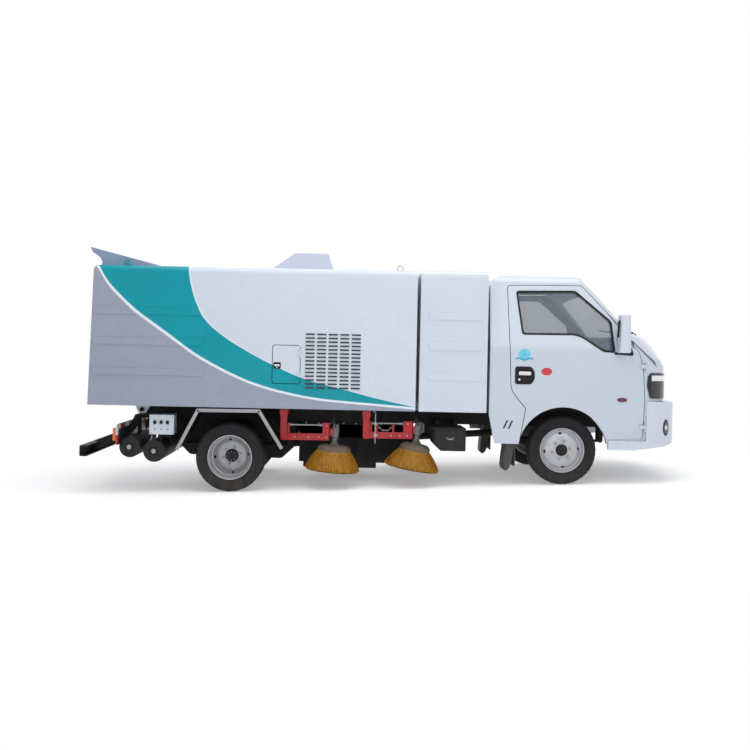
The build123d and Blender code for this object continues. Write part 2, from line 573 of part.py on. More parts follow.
# ---- Front compartment behind the cab ----
def pressed_rib(start_x, end_x, middle_z):
    """Raised pressing along a side panel, with tapered edges and rounded ends."""
    with BuildPart() as rib:
        with BuildSketch(Plane.XZ.offset(BODY_HALF_WIDTH)):
            with Locations(((start_x + end_x) / 2, middle_z)):
                RectangleRounded(end_x - start_x, RIB_HEIGHT, 18)
        extrude(amount=RIB_DEPTH, taper=35)
    return rib.part


BODY_SECTION_CROWN = 6.0


def body_section(half_width, bottom, top, edge_radius):
    """Cross section of the body: flat sides and a slightly crowned roof with rounded edges."""
    polygon([(-half_width, bottom), (-half_width, top - BODY_SECTION_CROWN), (0, top),
             (half_width, top - BODY_SECTION_CROWN), (half_width, bottom)],
            radius=[0, edge_radius, 0, edge_radius, 0])


with BuildPart() as front_cabinet:
    with BuildSketch(Plane.YZ.offset(CABINET_REAR)):
        body_section(BODY_HALF_WIDTH, BODY_BOTTOM, BODY_TOP + 6, BODY_EDGE_RADIUS)
    extrude(amount=CABINET_FRONT - CABINET_REAR)
    with BuildSketch(Plane.YZ.offset(CABINET_REAR)):     # sills down onto the rails
        for side in (-1, 1):
            with Locations((side * (RAIL_OUTER_Y - RAIL_FLANGE / 2), (BODY_BOTTOM + RAIL_TOP) / 2)):
                Rectangle(RAIL_FLANGE, BODY_BOTTOM - RAIL_TOP)
    extrude(amount=CABINET_FRONT - CABINET_REAR)
    for row in range(RIB_COUNT):
        rib = pressed_rib(1700, 2170, RIB_LOW_Z + 6 + row * RIB_PITCH)
        add(rib)
        add(mirror(rib, about=Plane.XZ, mode=Mode.PRIVATE))
finish(front_cabinet.part, "front_cabinet")

# ---- Sweeper body ----
BODY_LENGTH_MARGIN = 40.0
HATCH = (353.0, 601.0, 651.0, 990.0)          # rear x, front x, low z, high z
HATCH_CORNER = 25.0
LOUVRE_FIELD = (630.0, 1129.0, 612.0, 1102.0)
LOUVRE_COLUMNS, LOUVRE_ROWS = 5, 15
LOUVRE_LENGTH, LOUVRE_HEIGHT = 77.0, 16.0
LOUVRE_PITCH_X, LOUVRE_PITCH_Z = 99.5, 33.0
LOUVRE_REACH = 7.0
PANEL_SHEET = 4.0
TAIL_DOOR_THICKNESS = 40.0
TAIL_DOOR_LOW, TAIL_DOOR_HIGH = 473.0, 1548.0
TAIL_DOOR_HALF = BODY_HALF_WIDTH - BODY_WALL - MOVE_GAP
TAIL_HINGE_X, TAIL_HINGE_Z = -1216.0, 1557.0
TAIL_HINGE_Y = 520.0
HEADER_LOW = TAIL_DOOR_HIGH + 30.0
TAIL_PIN_RADIUS = 8.0
TAIL_KNUCKLE_RADIUS = 14.0
TAIL_KNUCKLE_HALF = 16.0
LUG_SHEET = 22.0
LIFT_EYES = ((-927.0, 790.0), (1450.0, 790.0))    # x, y of the eyes on one side of the roof
LIFT_EYE_RADIUS, LIFT_EYE_BORE = 30.0, 18.0
LIFT_EYE_Z = BODY_TOP + 14.0


def tail_x(z):
    """X of the body's rear edge, which leans forward as it rises."""
    return BODY_REAR_LOW + (BODY_REAR_HIGH - BODY_REAR_LOW) * (z - BODY_BOTTOM) / (BODY_TOP - BODY_BOTTOM)


def hinge_knuckle(x, y, z, direction, radius, length, pin_radius):
    """Solid knuckle, or a bored one when pin_radius is given, centred on the hinge line."""
    with BuildPart() as knuckle_part:
        with BuildSketch(Plane(origin=(x, y, z), z_dir=direction)):
            Circle(radius)
            if pin_radius:
                Circle(pin_radius + RUNNING, mode=Mode.SUBTRACT)
        extrude(amount=length / 2, both=True)
    return knuckle_part.part


def side_hinge_fixed(axis_x, panel_y, z, foot):
    """Fixed half of a vertical hinge on the right side: pin, two knuckles and their feet in the panel's edge."""
    axis_y = -(panel_y + HINGE_OFFSET)
    with BuildPart() as half:
        with BuildSketch(Plane.XY.offset(z)):
            with Locations((axis_x, axis_y)):
                Circle(HINGE_PIN_RADIUS)
        extrude(amount=HINGE_KNUCKLE_LENGTH + 2, both=True)
        for end in (-1, 1):
            with BuildSketch(Plane.XY.offset(z + end * (HINGE_KNUCKLE_LENGTH + 1))):
                with Locations((axis_x, axis_y)):
                    Circle(HINGE_KNUCKLE_RADIUS)
                with Locations((axis_x - 2, axis_y)):
                    Rectangle(foot + 2, HINGE_OFFSET + 20, align=(Align.MIN, Align.MIN))
            extrude(amount=HINGE_KNUCKLE_LENGTH / 2 - 3, both=True)
    return half.part


def side_hinge_moving(axis_x, panel_y, z, reach):
    """Moving half: a bored knuckle on a leaf that reaches back over the gap and is seated on the panel."""
    axis_y = -(panel_y + HINGE_OFFSET)
    with BuildPart() as half:
        with BuildSketch(Plane.XY.offset(z)):
            with Locations((axis_x, axis_y)):
                Circle(HINGE_KNUCKLE_RADIUS)
            with Locations((axis_x - reach, axis_y + HINGE_LEAF_SHEET / 2)):
                Rectangle(reach, HINGE_LEAF_SHEET, align=(Align.MIN, Align.MAX))
            with Locations((axis_x - reach, axis_y - HINGE_LEAF_SHEET / 2)):
                Rectangle(12, HINGE_OFFSET + HINGE_LEAF_SHEET / 2 + 16, align=(Align.MIN, Align.MIN))
            with Locations((axis_x, axis_y)):
                Circle(HINGE_PIN_RADIUS + RUNNING, mode=Mode.SUBTRACT)
        extrude(amount=HINGE_KNUCKLE_LENGTH / 2, both=True)
    return half.part


HATCH_AXIS_X = HATCH[1] - MOVE_GAP / 2
HATCH_HINGE_Z = (HATCH[2] + 70, HATCH[3] - 70)

with BuildPart() as sweeper_body:
    with BuildSketch(Plane.YZ.offset(BODY_REAR_LOW - BODY_LENGTH_MARGIN)):
        body_section(BODY_HALF_WIDTH, BODY_BOTTOM, BODY_TOP, BODY_EDGE_RADIUS)
    extrude(amount=BODY_FRONT - BODY_REAR_LOW + BODY_LENGTH_MARGIN)
    with BuildSketch(Plane.XZ):
        polygon([(BODY_REAR_LOW, BODY_BOTTOM), (tail_x(BODY_TOP + 20), BODY_TOP + 20),
                 (BODY_FRONT, BODY_TOP + 20), (BODY_FRONT, BODY_BOTTOM)], radius=[0, 85, 0, 0])
    extrude(amount=2 * BODY_HALF_WIDTH, both=True, mode=Mode.INTERSECT)
    # dust hopper behind the bulkhead, fan chamber ahead of it
    for rear_x, front_x in ((BODY_REAR_LOW - 100, BULKHEAD_X), (BULKHEAD_X + BODY_WALL, BODY_FRONT - BODY_WALL)):
        with BuildSketch(Plane.YZ.offset(rear_x)):
            body_section(BODY_HALF_WIDTH - BODY_WALL, BODY_BOTTOM + BODY_WALL, BODY_TOP - BODY_WALL,
                         2.0)
        extrude(amount=front_x - rear_x, mode=Mode.SUBTRACT)
    # header over the tail door
    with BuildSketch(Plane.XZ):
        polygon([(tail_x(HEADER_LOW), HEADER_LOW), (tail_x(BODY_TOP) + 40, BODY_TOP - 15),
                 (tail_x(BODY_TOP) + 80, BODY_TOP - 15), (tail_x(HEADER_LOW) + 40, HEADER_LOW)])
    extrude(amount=BODY_HALF_WIDTH - BODY_WALL / 2, both=True)
    # side openings for the hatches and the louvred panels
    with BuildSketch(Plane.XZ):
        with Locations(((HATCH[0] + HATCH[1]) / 2, (HATCH[2] + HATCH[3]) / 2)):
            RectangleRounded(HATCH[1] - HATCH[0], HATCH[3] - HATCH[2], HATCH_CORNER)
        with Locations(((LOUVRE_FIELD[0] + LOUVRE_FIELD[1]) / 2, (LOUVRE_FIELD[2] + LOUVRE_FIELD[3]) / 2)):
            Rectangle(LOUVRE_FIELD[1] - LOUVRE_FIELD[0] - 16, LOUVRE_FIELD[3] - LOUVRE_FIELD[2] - 16)
    extrude(amount=BODY_HALF_WIDTH + 20, both=True, mode=Mode.SUBTRACT)
    with BuildSketch(Plane.XZ.offset(BODY_HALF_WIDTH - PANEL_SHEET)):
        with Locations(((LOUVRE_FIELD[0] + LOUVRE_FIELD[1]) / 2, (LOUVRE_FIELD[2] + LOUVRE_FIELD[3]) / 2)):
            Rectangle(LOUVRE_FIELD[1] - LOUVRE_FIELD[0], LOUVRE_FIELD[3] - LOUVRE_FIELD[2])
    extrude(amount=20, mode=Mode.SUBTRACT)
    with BuildSketch(Plane.XZ.offset(-BODY_HALF_WIDTH + PANEL_SHEET)):
        with Locations(((LOUVRE_FIELD[0] + LOUVRE_FIELD[1]) / 2, (LOUVRE_FIELD[2] + LOUVRE_FIELD[3]) / 2)):
            Rectangle(LOUVRE_FIELD[1] - LOUVRE_FIELD[0], LOUVRE_FIELD[3] - LOUVRE_FIELD[2])
    extrude(amount=-20, mode=Mode.SUBTRACT)
    for row in range(RIB_COUNT):
        rib = pressed_rib(-1205, -240, RIB_LOW_Z + row * RIB_PITCH)
        add(rib)
        add(mirror(rib, about=Plane.XZ, mode=Mode.PRIVATE))
    # runners, pivot lugs and the tipping cylinder's ears, under the floor
    for side in (-1, 1):
        with Locations(((RAIL_REAR + BODY_FRONT) / 2 + 120, side * (RAIL_OUTER_Y - 30), BODY_BOTTOM - 5)):
            Box(BODY_FRONT - RAIL_REAR - 300, 50, 12)
        with BuildSketch(Plane.XZ.offset(side * (RAIL_OUTER_Y + 12 + LUG_SHEET / 2))):
            polygon([(TIP_X - 70, BODY_BOTTOM + 4), (TIP_X + 90, BODY_BOTTOM + 4), (TIP_X + 34, TIP_Z - 34),
                     (TIP_X - 34, TIP_Z - 34)], radius=[0, 0, 26, 26])
            with Locations((TIP_X, TIP_Z)):
                Circle(TIP_PIN_RADIUS + RUNNING, mode=Mode.SUBTRACT)
        extrude(amount=LUG_SHEET / 2, both=True)
        with BuildSketch(Plane.XZ.offset(side * (RAM_EYE_WIDTH / 2 + 14))):
            polygon([(RAM_HIGH_X - 60, BODY_BOTTOM + 4), (RAM_HIGH_X + 60, BODY_BOTTOM + 4),
                     (RAM_HIGH_X + 26, RAM_HIGH_Z - 26), (RAM_HIGH_X - 26, RAM_HIGH_Z - 26)],
                    radius=[0, 0, 22, 22])
            with Locations((RAM_HIGH_X, RAM_HIGH_Z)):
                Circle(RAM_PIN_RADIUS, mode=Mode.SUBTRACT)
        extrude(amount=6, both=True)
        for eye_x, eye_y in LIFT_EYES:
            with BuildSketch(Plane.XZ.offset(side * eye_y)):
                with Locations((eye_x, LIFT_EYE_Z)):
                    Circle(LIFT_EYE_RADIUS)
                with Locations((eye_x, LIFT_EYE_Z - 22)):
                    Rectangle(2 * LIFT_EYE_RADIUS, 20)
                with Locations((eye_x, LIFT_EYE_Z)):
                    Circle(LIFT_EYE_BORE, mode=Mode.SUBTRACT)
            extrude(amount=6, both=True)
        # fixed halves of the tail door's hinges, with their pins
        for end in (-1, 1):
            middle_y = side * TAIL_HINGE_Y + end * (TAIL_KNUCKLE_HALF + 12)
            add(hinge_knuckle(TAIL_HINGE_X, middle_y, TAIL_HINGE_Z, (0, 1, 0), TAIL_KNUCKLE_RADIUS, 22, 0))
            with Locations((TAIL_HINGE_X + 8, middle_y, TAIL_HINGE_Z + 24)):
                Box(30, 22, 40)
        add(hinge_knuckle(TAIL_HINGE_X, side * TAIL_HINGE_Y, TAIL_HINGE_Z, (0, 1, 0), TAIL_PIN_RADIUS,
                          2 * TAIL_KNUCKLE_HALF + 10, 0))
    for hinge_z in HATCH_HINGE_Z:
        fixed_half = side_hinge_fixed(HATCH_AXIS_X, BODY_HALF_WIDTH, hinge_z, 12)
        add(fixed_half)
        add(mirror(fixed_half, about=Plane.XZ, mode=Mode.PRIVATE))
    # seams: side walls, roof and floor are panels of their own
    for side in (-1, 1):
        with Locations((0, side * (BODY_HALF_WIDTH - BODY_WALL), BODY_TOP / 2)):
            Box(5000, SEAT_GAP, 3000, mode=Mode.SUBTRACT)
    for seam_z in (BODY_BOTTOM + BODY_WALL, BODY_TOP - BODY_WALL - BODY_SECTION_CROWN):
        with Locations((0, 0, seam_z)):
            Box(5000, 2 * (BODY_HALF_WIDTH - BODY_WALL), SEAT_GAP, mode=Mode.SUBTRACT)
finish(sweeper_body.part, "sweeper_body")

with BuildPart() as louvre_panel:
    with BuildSketch(Plane.XZ.offset(BODY_HALF_WIDTH - PANEL_SHEET + SEAT_GAP)):
        with Locations(((LOUVRE_FIELD[0] + LOUVRE_FIELD[1]) / 2, (LOUVRE_FIELD[2] + LOUVRE_FIELD[3]) / 2)):
            Rectangle(LOUVRE_FIELD[1] - LOUVRE_FIELD[0] - 2 * SEAT_GAP,
                      LOUVRE_FIELD[3] - LOUVRE_FIELD[2] - 2 * SEAT_GAP)
            with GridLocations(LOUVRE_PITCH_X, LOUVRE_PITCH_Z, LOUVRE_COLUMNS, LOUVRE_ROWS):
                Rectangle(LOUVRE_LENGTH, LOUVRE_HEIGHT - 4, mode=Mode.SUBTRACT)
    extrude(amount=PANEL_SHEET - SEAT_GAP)
    for column in range(LOUVRE_COLUMNS):
        start_x = (LOUVRE_FIELD[0] + LOUVRE_FIELD[1]) / 2 - LOUVRE_LENGTH / 2 - 1 \
            + (column - (LOUVRE_COLUMNS - 1) / 2) * LOUVRE_PITCH_X
        with BuildSketch(Plane.YZ.offset(start_x)):
            for row in range(LOUVRE_ROWS):
                middle_z = (LOUVRE_FIELD[2] + LOUVRE_FIELD[3]) / 2 + (row - (LOUVRE_ROWS - 1) / 2) * LOUVRE_PITCH_Z
                high_z = middle_z + LOUVRE_HEIGHT / 2 + 1
                low_z = middle_z - LOUVRE_HEIGHT / 2
                polygon([(-BODY_HALF_WIDTH + 2, high_z), (-BODY_HALF_WIDTH - LOUVRE_REACH, low_z + 3),
                         (-BODY_HALF_WIDTH - LOUVRE_REACH, low_z), (-BODY_HALF_WIDTH + 2, high_z - 5)])
        extrude(amount=LOUVRE_LENGTH + 2)
finish(both_sides(louvre_panel.part), "louvre_panels")

with BuildPart() as tail_door:
    with BuildSketch(Plane.XZ):
        polygon([(tail_x(TAIL_DOOR_LOW), TAIL_DOOR_LOW), (tail_x(TAIL_DOOR_HIGH), TAIL_DOOR_HIGH),
                 (tail_x(TAIL_DOOR_HIGH) + TAIL_DOOR_THICKNESS, TAIL_DOOR_HIGH),
                 (tail_x(TAIL_DOOR_LOW) + TAIL_DOOR_THICKNESS, TAIL_DOOR_LOW)])
    extrude(amount=TAIL_DOOR_HALF, both=True)
    for side in (-1, 1):     # relief round the fixed knuckles, then the door's own leaf and knuckle
        add(hinge_knuckle(TAIL_HINGE_X, side * TAIL_HINGE_Y, TAIL_HINGE_Z, (0, 1, 0), TAIL_KNUCKLE_RADIUS + 4,
                          2 * TAIL_KNUCKLE_HALF + 60, 0), mode=Mode.SUBTRACT)
        with BuildSketch(Plane.XZ.offset(-side * TAIL_HINGE_Y)):
            polygon([(TAIL_HINGE_X + 16, TAIL_HINGE_Z - 38), (TAIL_HINGE_X - 8, TAIL_HINGE_Z - 32),
                     (TAIL_HINGE_X - 8, TAIL_HINGE_Z - 6), (TAIL_HINGE_X + 16, TAIL_HINGE_Z - 6)])
        extrude(amount=TAIL_KNUCKLE_HALF, both=True)
        add(hinge_knuckle(TAIL_HINGE_X, side * TAIL_HINGE_Y, TAIL_HINGE_Z, (0, 1, 0), TAIL_KNUCKLE_RADIUS,
                          2 * TAIL_KNUCKLE_HALF, 0))
        add(hinge_knuckle(TAIL_HINGE_X, side * TAIL_HINGE_Y, TAIL_HINGE_Z, (0, 1, 0), TAIL_PIN_RADIUS + RUNNING,
                          2 * TAIL_KNUCKLE_HALF + 2, 0), mode=Mode.SUBTRACT)
finish(tail_door.part, "tail_door")

with BuildPart() as hatch:
    with BuildSketch(Plane.XZ.offset(BODY_HALF_WIDTH - BODY_WALL)):
        with Locations(((HATCH[0] + HATCH[1]) / 2, (HATCH[2] + HATCH[3]) / 2)):
            RectangleRounded(HATCH[1] - HATCH[0] - 2 * MOVE_GAP, HATCH[3] - HATCH[2] - 2 * MOVE_GAP,
                             HATCH_CORNER - MOVE_GAP)
    extrude(amount=BODY_WALL)
    for hinge_z in HATCH_HINGE_Z:
        add(side_hinge_moving(HATCH_AXIS_X, BODY_HALF_WIDTH, hinge_z, 26))
finish(hatch.part, "hatch_right")
finish(mirror(hatch.part, about=Plane.XZ), "hatch_left")

# ---- Roof vent, tail spoiler and fan ----
VENT_HALF = 300.0
with BuildPart() as roof_vent:
    with BuildSketch(Plane.XZ):
        polygon([(252, BODY_TOP + SEAT_GAP), (503, BODY_TOP + 181), (818, BODY_TOP + 181), (830, BODY_TOP + 122),
                 (880, BODY_TOP + SEAT_GAP)], radius=[0, 30, 20, 10, 0])
    extrude(amount=VENT_HALF, both=True)
    with BuildSketch(Plane.XZ):      # open mouth facing forward
        polygon([(700, BODY_TOP + 60), (700, BODY_TOP + 150), (900, BODY_TOP + 150), (900, BODY_TOP + 60)])
    extrude(amount=VENT_HALF - 30, both=True, mode=Mode.SUBTRACT)
finish(roof_vent.part, "roof_vent")

SPOILER_HALF = 752.0
SPOILER_SHEET = 12.0
with BuildPart() as tail_spoiler:
    with BuildSketch(Plane.XZ):
        polygon([(-650, BODY_TOP + SEAT_GAP), (-1262, BODY_TOP + 153), (-1259, BODY_TOP + 153 - SPOILER_SHEET),
                 (-700, BODY_TOP + SEAT_GAP)])
    extrude(amount=SPOILER_HALF, both=True)
    for side in (-1, 1):
        with BuildSketch(Plane.XZ.offset(side * (SPOILER_HALF - SPOILER_SHEET / 2))):
            polygon([(-650, BODY_TOP - 5), (-650, BODY_TOP + SEAT_GAP), (-1262, BODY_TOP + 153),
                     (-1242, BODY_TOP + 107), (-1196, BODY_TOP + 78), (-1170, BODY_TOP + 53),
                     (-1158, BODY_TOP + 24), (-1160, BODY_TOP - 5)])
        extrude(amount=SPOILER_SHEET / 2, both=True)
finish(tail_spoiler.part, "tail_spoiler")

FAN_X, FAN_Z, FAN_RADIUS = 1000.0, 830.0, 310.0
with BuildPart() as suction_fan:
    with BuildSketch(Plane.XZ):
        with Locations((FAN_X, FAN_Z)):
            Circle(FAN_RADIUS)
        with Locations((FAN_X, (FAN_Z + BODY_BOTTOM + BODY_WALL) / 2)):
            Rectangle(420, FAN_Z - BODY_BOTTOM - BODY_WALL)
    extrude(amount=130, both=True)
    with BuildSketch(Plane.XZ):
        with Locations((FAN_X, FAN_Z)):
            Circle(120)
    extrude(amount=230, both=True)
finish(suction_fan.part, "suction_fan")

# ---- Tipping cylinder ----
RAM_LENGTH = hypot(RAM_HIGH_X - RAM_LOW_X, RAM_HIGH_Z - RAM_LOW_Z)
ram_plane = Plane(origin=(RAM_LOW_X, 0, RAM_LOW_Z),
                  x_dir=(RAM_HIGH_X - RAM_LOW_X, 0, RAM_HIGH_Z - RAM_LOW_Z), z_dir=(0, -1, 0))
RAM_BARREL_END = RAM_LENGTH - 105.0
with BuildPart() as ram_barrel:
    with BuildSketch(ram_plane):
        Circle(32)
    extrude(amount=RAM_EYE_WIDTH / 2, both=True)
    with BuildSketch(ram_plane):
        polygon([(20, 0), (20, RAM_NECK_RADIUS), (62, RAM_NECK_RADIUS), (66, RAM_BARREL_RADIUS - 10),
                 (84, RAM_BARREL_RADIUS), (RAM_BARREL_END, RAM_BARREL_RADIUS), (RAM_BARREL_END, 0)])
        polygon([(90, 0), (90, RAM_ROD_RADIUS + RUNNING), (RAM_LENGTH, RAM_ROD_RADIUS + RUNNING), (RAM_LENGTH, 0)],
                mode=Mode.SUBTRACT)
    revolve(axis=Axis(ram_plane.origin, ram_plane.x_dir))
    with BuildSketch(ram_plane):
        Circle(RAM_PIN_RADIUS + RUNNING)
    extrude(amount=RAM_EYE_WIDTH, both=True, mode=Mode.SUBTRACT)
finish(ram_barrel.part, "tipping_cylinder_barrel")
with BuildPart() as ram_rod:
    with BuildSketch(ram_plane):
        polygon([(100, 0), (100, RAM_ROD_RADIUS), (RAM_LENGTH - 20, RAM_ROD_RADIUS), (RAM_LENGTH - 20, 0)])
    revolve(axis=Axis(ram_plane.origin, ram_plane.x_dir))
    with BuildSketch(ram_plane):
        with Locations((RAM_LENGTH, 0)):
            Circle(30)
    extrude(amount=RAM_EYE_WIDTH / 2, both=True)
    with BuildSketch(ram_plane):
        with Locations((RAM_LENGTH, 0)):
            Circle(RAM_PIN_RADIUS + RUNNING)
    extrude(amount=RAM_EYE_WIDTH, both=True, mode=Mode.SUBTRACT)
finish(ram_rod.part, "tipping_cylinder_rod")

# ---- Cab ----
DOOR_OUTLINE = (             # x, z, starting at the rear top corner and going forward
    (2391.0, 1556.0), (3045.0, 1566.0), (3350.0, 1256.0), (3462.0, 1118.0),
    (3556.0, 980.0), (3581.0, 842.0), (3598.0, 580.0), (3588.0, 243.0), (3282.0, 222.0),
    (3282.0, 107.0), (2500.0, 107.0), (2560.0, 478.0), (2487.0, 564.0), (2439.0, 633.0), (2427.0, 678.0),
)
WINDOW_OUTLINE = (
    (2467.0, 1508.0), (2990.0, 1518.0), (3302.0, 1253.0), (3332.0, 978.0), (3226.0, 986.0),
    (3154.0, 1031.0), (3055.0, 1097.0), (2985.0, 1125.0), (2521.0, 1121.0),
)
WINDOW_RADII = (28, 40, 24, 16, 30, 60, 60, 60, 28)
LAMP_OUTLINE = ((3609.0, 700.0), (3616.0, 780.0), (3640.0, 812.0), (4000.0, 800.0), (4000.0, 584.0), (3640.0, 590.0))
LAMP_INNER_Y = 455.0
BUMPER_REAR = 3609.0
SILL_HIGH = 216.0
DOOR_HINGE_Z = (340.0, 865.0)
LAMP_DEPTH = 44.0
ARCH_CLEARANCE_Y = 1000.0


def plan_outline(nose, half_width, rear):
    """Plan of the cab's front: straight sides, round corners and a shallow curve across the nose."""
    centre_x = nose - CAB_FRONT_RADIUS
    corner_y = half_width - CAB_CORNER_RADIUS
    corner_x = centre_x + sqrt((CAB_FRONT_RADIUS - CAB_CORNER_RADIUS) ** 2 - corner_y ** 2)
    lean = asin(corner_y / (CAB_FRONT_RADIUS - CAB_CORNER_RADIUS))
    joint = (centre_x + CAB_FRONT_RADIUS * cos(lean), CAB_FRONT_RADIUS * sin(lean))
    middle = (lean + pi / 2) / 2
    with BuildLine() as boundary:
        front = ThreePointArc((joint[0], -joint[1]), (nose, 0), joint)
        left = ThreePointArc(joint, (corner_x + CAB_CORNER_RADIUS * cos(middle),
                                     corner_y + CAB_CORNER_RADIUS * sin(middle)), (corner_x, half_width))
        right = ThreePointArc((joint[0], -joint[1]),
                              (corner_x + CAB_CORNER_RADIUS * cos(middle),
                               -corner_y - CAB_CORNER_RADIUS * sin(middle)), (corner_x, -half_width))
        Polyline((corner_x, half_width), (rear, half_width), (rear, -half_width), (corner_x, -half_width))
    make_face(boundary.edges())


SCREEN_PITCH = atan2(SCREEN_TOP[1] - SCREEN_FOOT[1], SCREEN_FOOT[0] - SCREEN_TOP[0])
SCREEN_LENGTH = hypot(SCREEN_TOP[1] - SCREEN_FOOT[1], SCREEN_FOOT[0] - SCREEN_TOP[0])
screen_normal = (sin(SCREEN_PITCH), 0, cos(SCREEN_PITCH))
across_screen = Plane(origin=(SCREEN_FOOT[0], 0, SCREEN_FOOT[1]), x_dir=screen_normal,
                      z_dir=(-cos(SCREEN_PITCH), 0, sin(SCREEN_PITCH)))


def cab_volume(inset):
    """The cab's outer form taken in by inset: side, front and plan profiles and the raked screen."""
    with BuildPart() as volume:
        with BuildSketch(Plane.XZ):
            polygon([(CAB_REAR + 55 + inset, CAB_BOTTOM), (CAB_REAR + inset, CAB_BOTTOM + 250),
                     (CAB_REAR + inset, 1555 - inset), (CAB_REAR + 85 + inset, 1630 - inset),
                     (CAB_REAR + 175, 1690 - inset), (2830, 1690 - inset), (3290, 1572 - inset),
                     (4200, 1572 - inset), (4200, CAB_BOTTOM)],
                    radius=[0, 60, 30, 60, 60, 60, 0, 0, 0])
        extrude(amount=CAB_HALF_WIDTH + 50, both=True)
        with BuildSketch(Plane.YZ.offset(CAB_REAR - 100)):
            half = CAB_HALF_WIDTH - inset
            polygon([(-half + 22, CAB_BOTTOM - 50), (-half, 520), (-half, 1000), (-half + 90, 1640 - inset),
                     (0, CAB_ROOF - inset), (half - 90, 1640 - inset), (half, 1000), (half, 520),
                     (half - 22, CAB_BOTTOM - 50)],
                    radius=[0, 600, 500, 110 - inset, 3000, 110 - inset, 500, 600, 0])
        extrude(amount=2200, mode=Mode.INTERSECT)
        with BuildSketch(Plane.XY.offset(CAB_BOTTOM - 60)):
            plan_outline(CAB_NOSE - inset, CAB_HALF_WIDTH + 4 - inset, CAB_REAR - 200)
        extrude(amount=1700, mode=Mode.INTERSECT)
        with BuildSketch(across_screen):
            plan_outline(-inset, CAB_HALF_WIDTH + 4 - inset, -2500)
        extrude(amount=1800, both=True, mode=Mode.INTERSECT)
    return volume.part


def side_prism(points, radius, near_y, far_y, grow=0.0):
    """Prism of a side-view outline, between two distances from the truck's middle on the right."""
    with BuildPart() as prism:
        with BuildSketch(Plane.XZ.offset(near_y)):
            polygon(points, radius=radius)
            if grow:
                offset(amount=grow, mode=Mode.REPLACE)
        extrude(amount=far_y - near_y)
    return prism.part


cab_outer = cab_volume(0.0)
cab_inner = cab_volume(CAB_WALL)
glass_layer = cab_volume(GLASS_DEPTH) - cab_volume(GLASS_DEPTH + GLASS_THICKNESS)
screen_plane = Plane(origin=(SCREEN_FOOT[0], 0, SCREEN_FOOT[1]), x_dir=(0, 1, 0), z_dir=screen_normal)
SCREEN_OUTLINE = ((-735.0, 22.0), (-655.0, SCREEN_LENGTH - 10), (655.0, SCREEN_LENGTH - 10), (735.0, 22.0))
SCREEN_RADII = (60, 70, 70, 60)


def screen_prism(trim):
    """Prism through the windscreen's opening, square to the raked glass."""
    with BuildPart() as prism:
        with BuildSketch(screen_plane.offset(-320)):
            polygon(SCREEN_OUTLINE, radius=SCREEN_RADII)
            if trim:
                offset(amount=-trim, mode=Mode.REPLACE)
        extrude(amount=600)
    return prism.part


def door_prism(trim):
    """Prism of the right door's outline, its lower rear edge following the wheel arch."""
    with BuildPart() as prism:
        with BuildSketch(Plane.XZ.offset(CAB_HALF_WIDTH - 260)):
            polygon(DOOR_OUTLINE, radius=[30, 60, 60, 60, 60, 60, 60, 20, 10, 0, 0, 30, 60, 40, 40])
            if trim:
                offset(amount=-trim, mode=Mode.REPLACE)
            with Locations((ARCH_X, ARCH_Z)):
                Circle(ARCH_RADIUS + trim, mode=Mode.SUBTRACT)
            with Locations((ARCH_X, ARCH_Z - 300)):
                Rectangle(2 * ARCH_RADIUS + 10, 620, mode=Mode.SUBTRACT)
        extrude(amount=400)
    return prism.part


def arch_cutter():
    with BuildPart() as cutter:
        with BuildSketch(Plane.XZ):
            with Locations((ARCH_X, ARCH_Z)):
                Circle(ARCH_RADIUS)
        extrude(amount=ARCH_CLEARANCE_Y, both=True)
    return cutter.part


LAMP_GAP = 0.5
LAMP_RADII = [30, 30, 30, 0, 0, 20]
lamp_shape = side_prism(LAMP_OUTLINE, LAMP_RADII, LAMP_INNER_Y, 1000)
lamp_zone = (cab_volume(-8.0) - cab_volume(LAMP_DEPTH)) & lamp_shape
lamp_pocket = side_prism(LAMP_OUTLINE, LAMP_RADII, LAMP_INNER_Y - LAMP_GAP, 1000, LAMP_GAP)
window_prism = side_prism(WINDOW_OUTLINE, list(WINDOW_RADII), 400, 1000)
door_pocket = door_prism(0.0) - cab_volume(CAB_WALL + MOVE_GAP)
GRILLE_HALF = 400.0
GRILLE_LOW, GRILLE_HIGH = 615.0, 735.0
NOSE_BOTTOM = BUMPER_TOP + LAMP_GAP

# interior above the floor, stepped down to the footwell
with BuildPart() as interior:
    with BuildSketch(Plane.XZ):
        polygon([(CAB_REAR - 20, FLOOR_TOP), (FOOTWELL_X - 40, FLOOR_TOP), (FOOTWELL_X, FOOTWELL_TOP),
                 (FIREWALL_X, FOOTWELL_TOP), (FIREWALL_X, NOSE_BOTTOM + 40), (4200, NOSE_BOTTOM + 40),
                 (4200, 1800), (CAB_REAR - 20, 1800)])
    extrude(amount=1000, both=True)
    add(cab_inner, mode=Mode.INTERSECT)

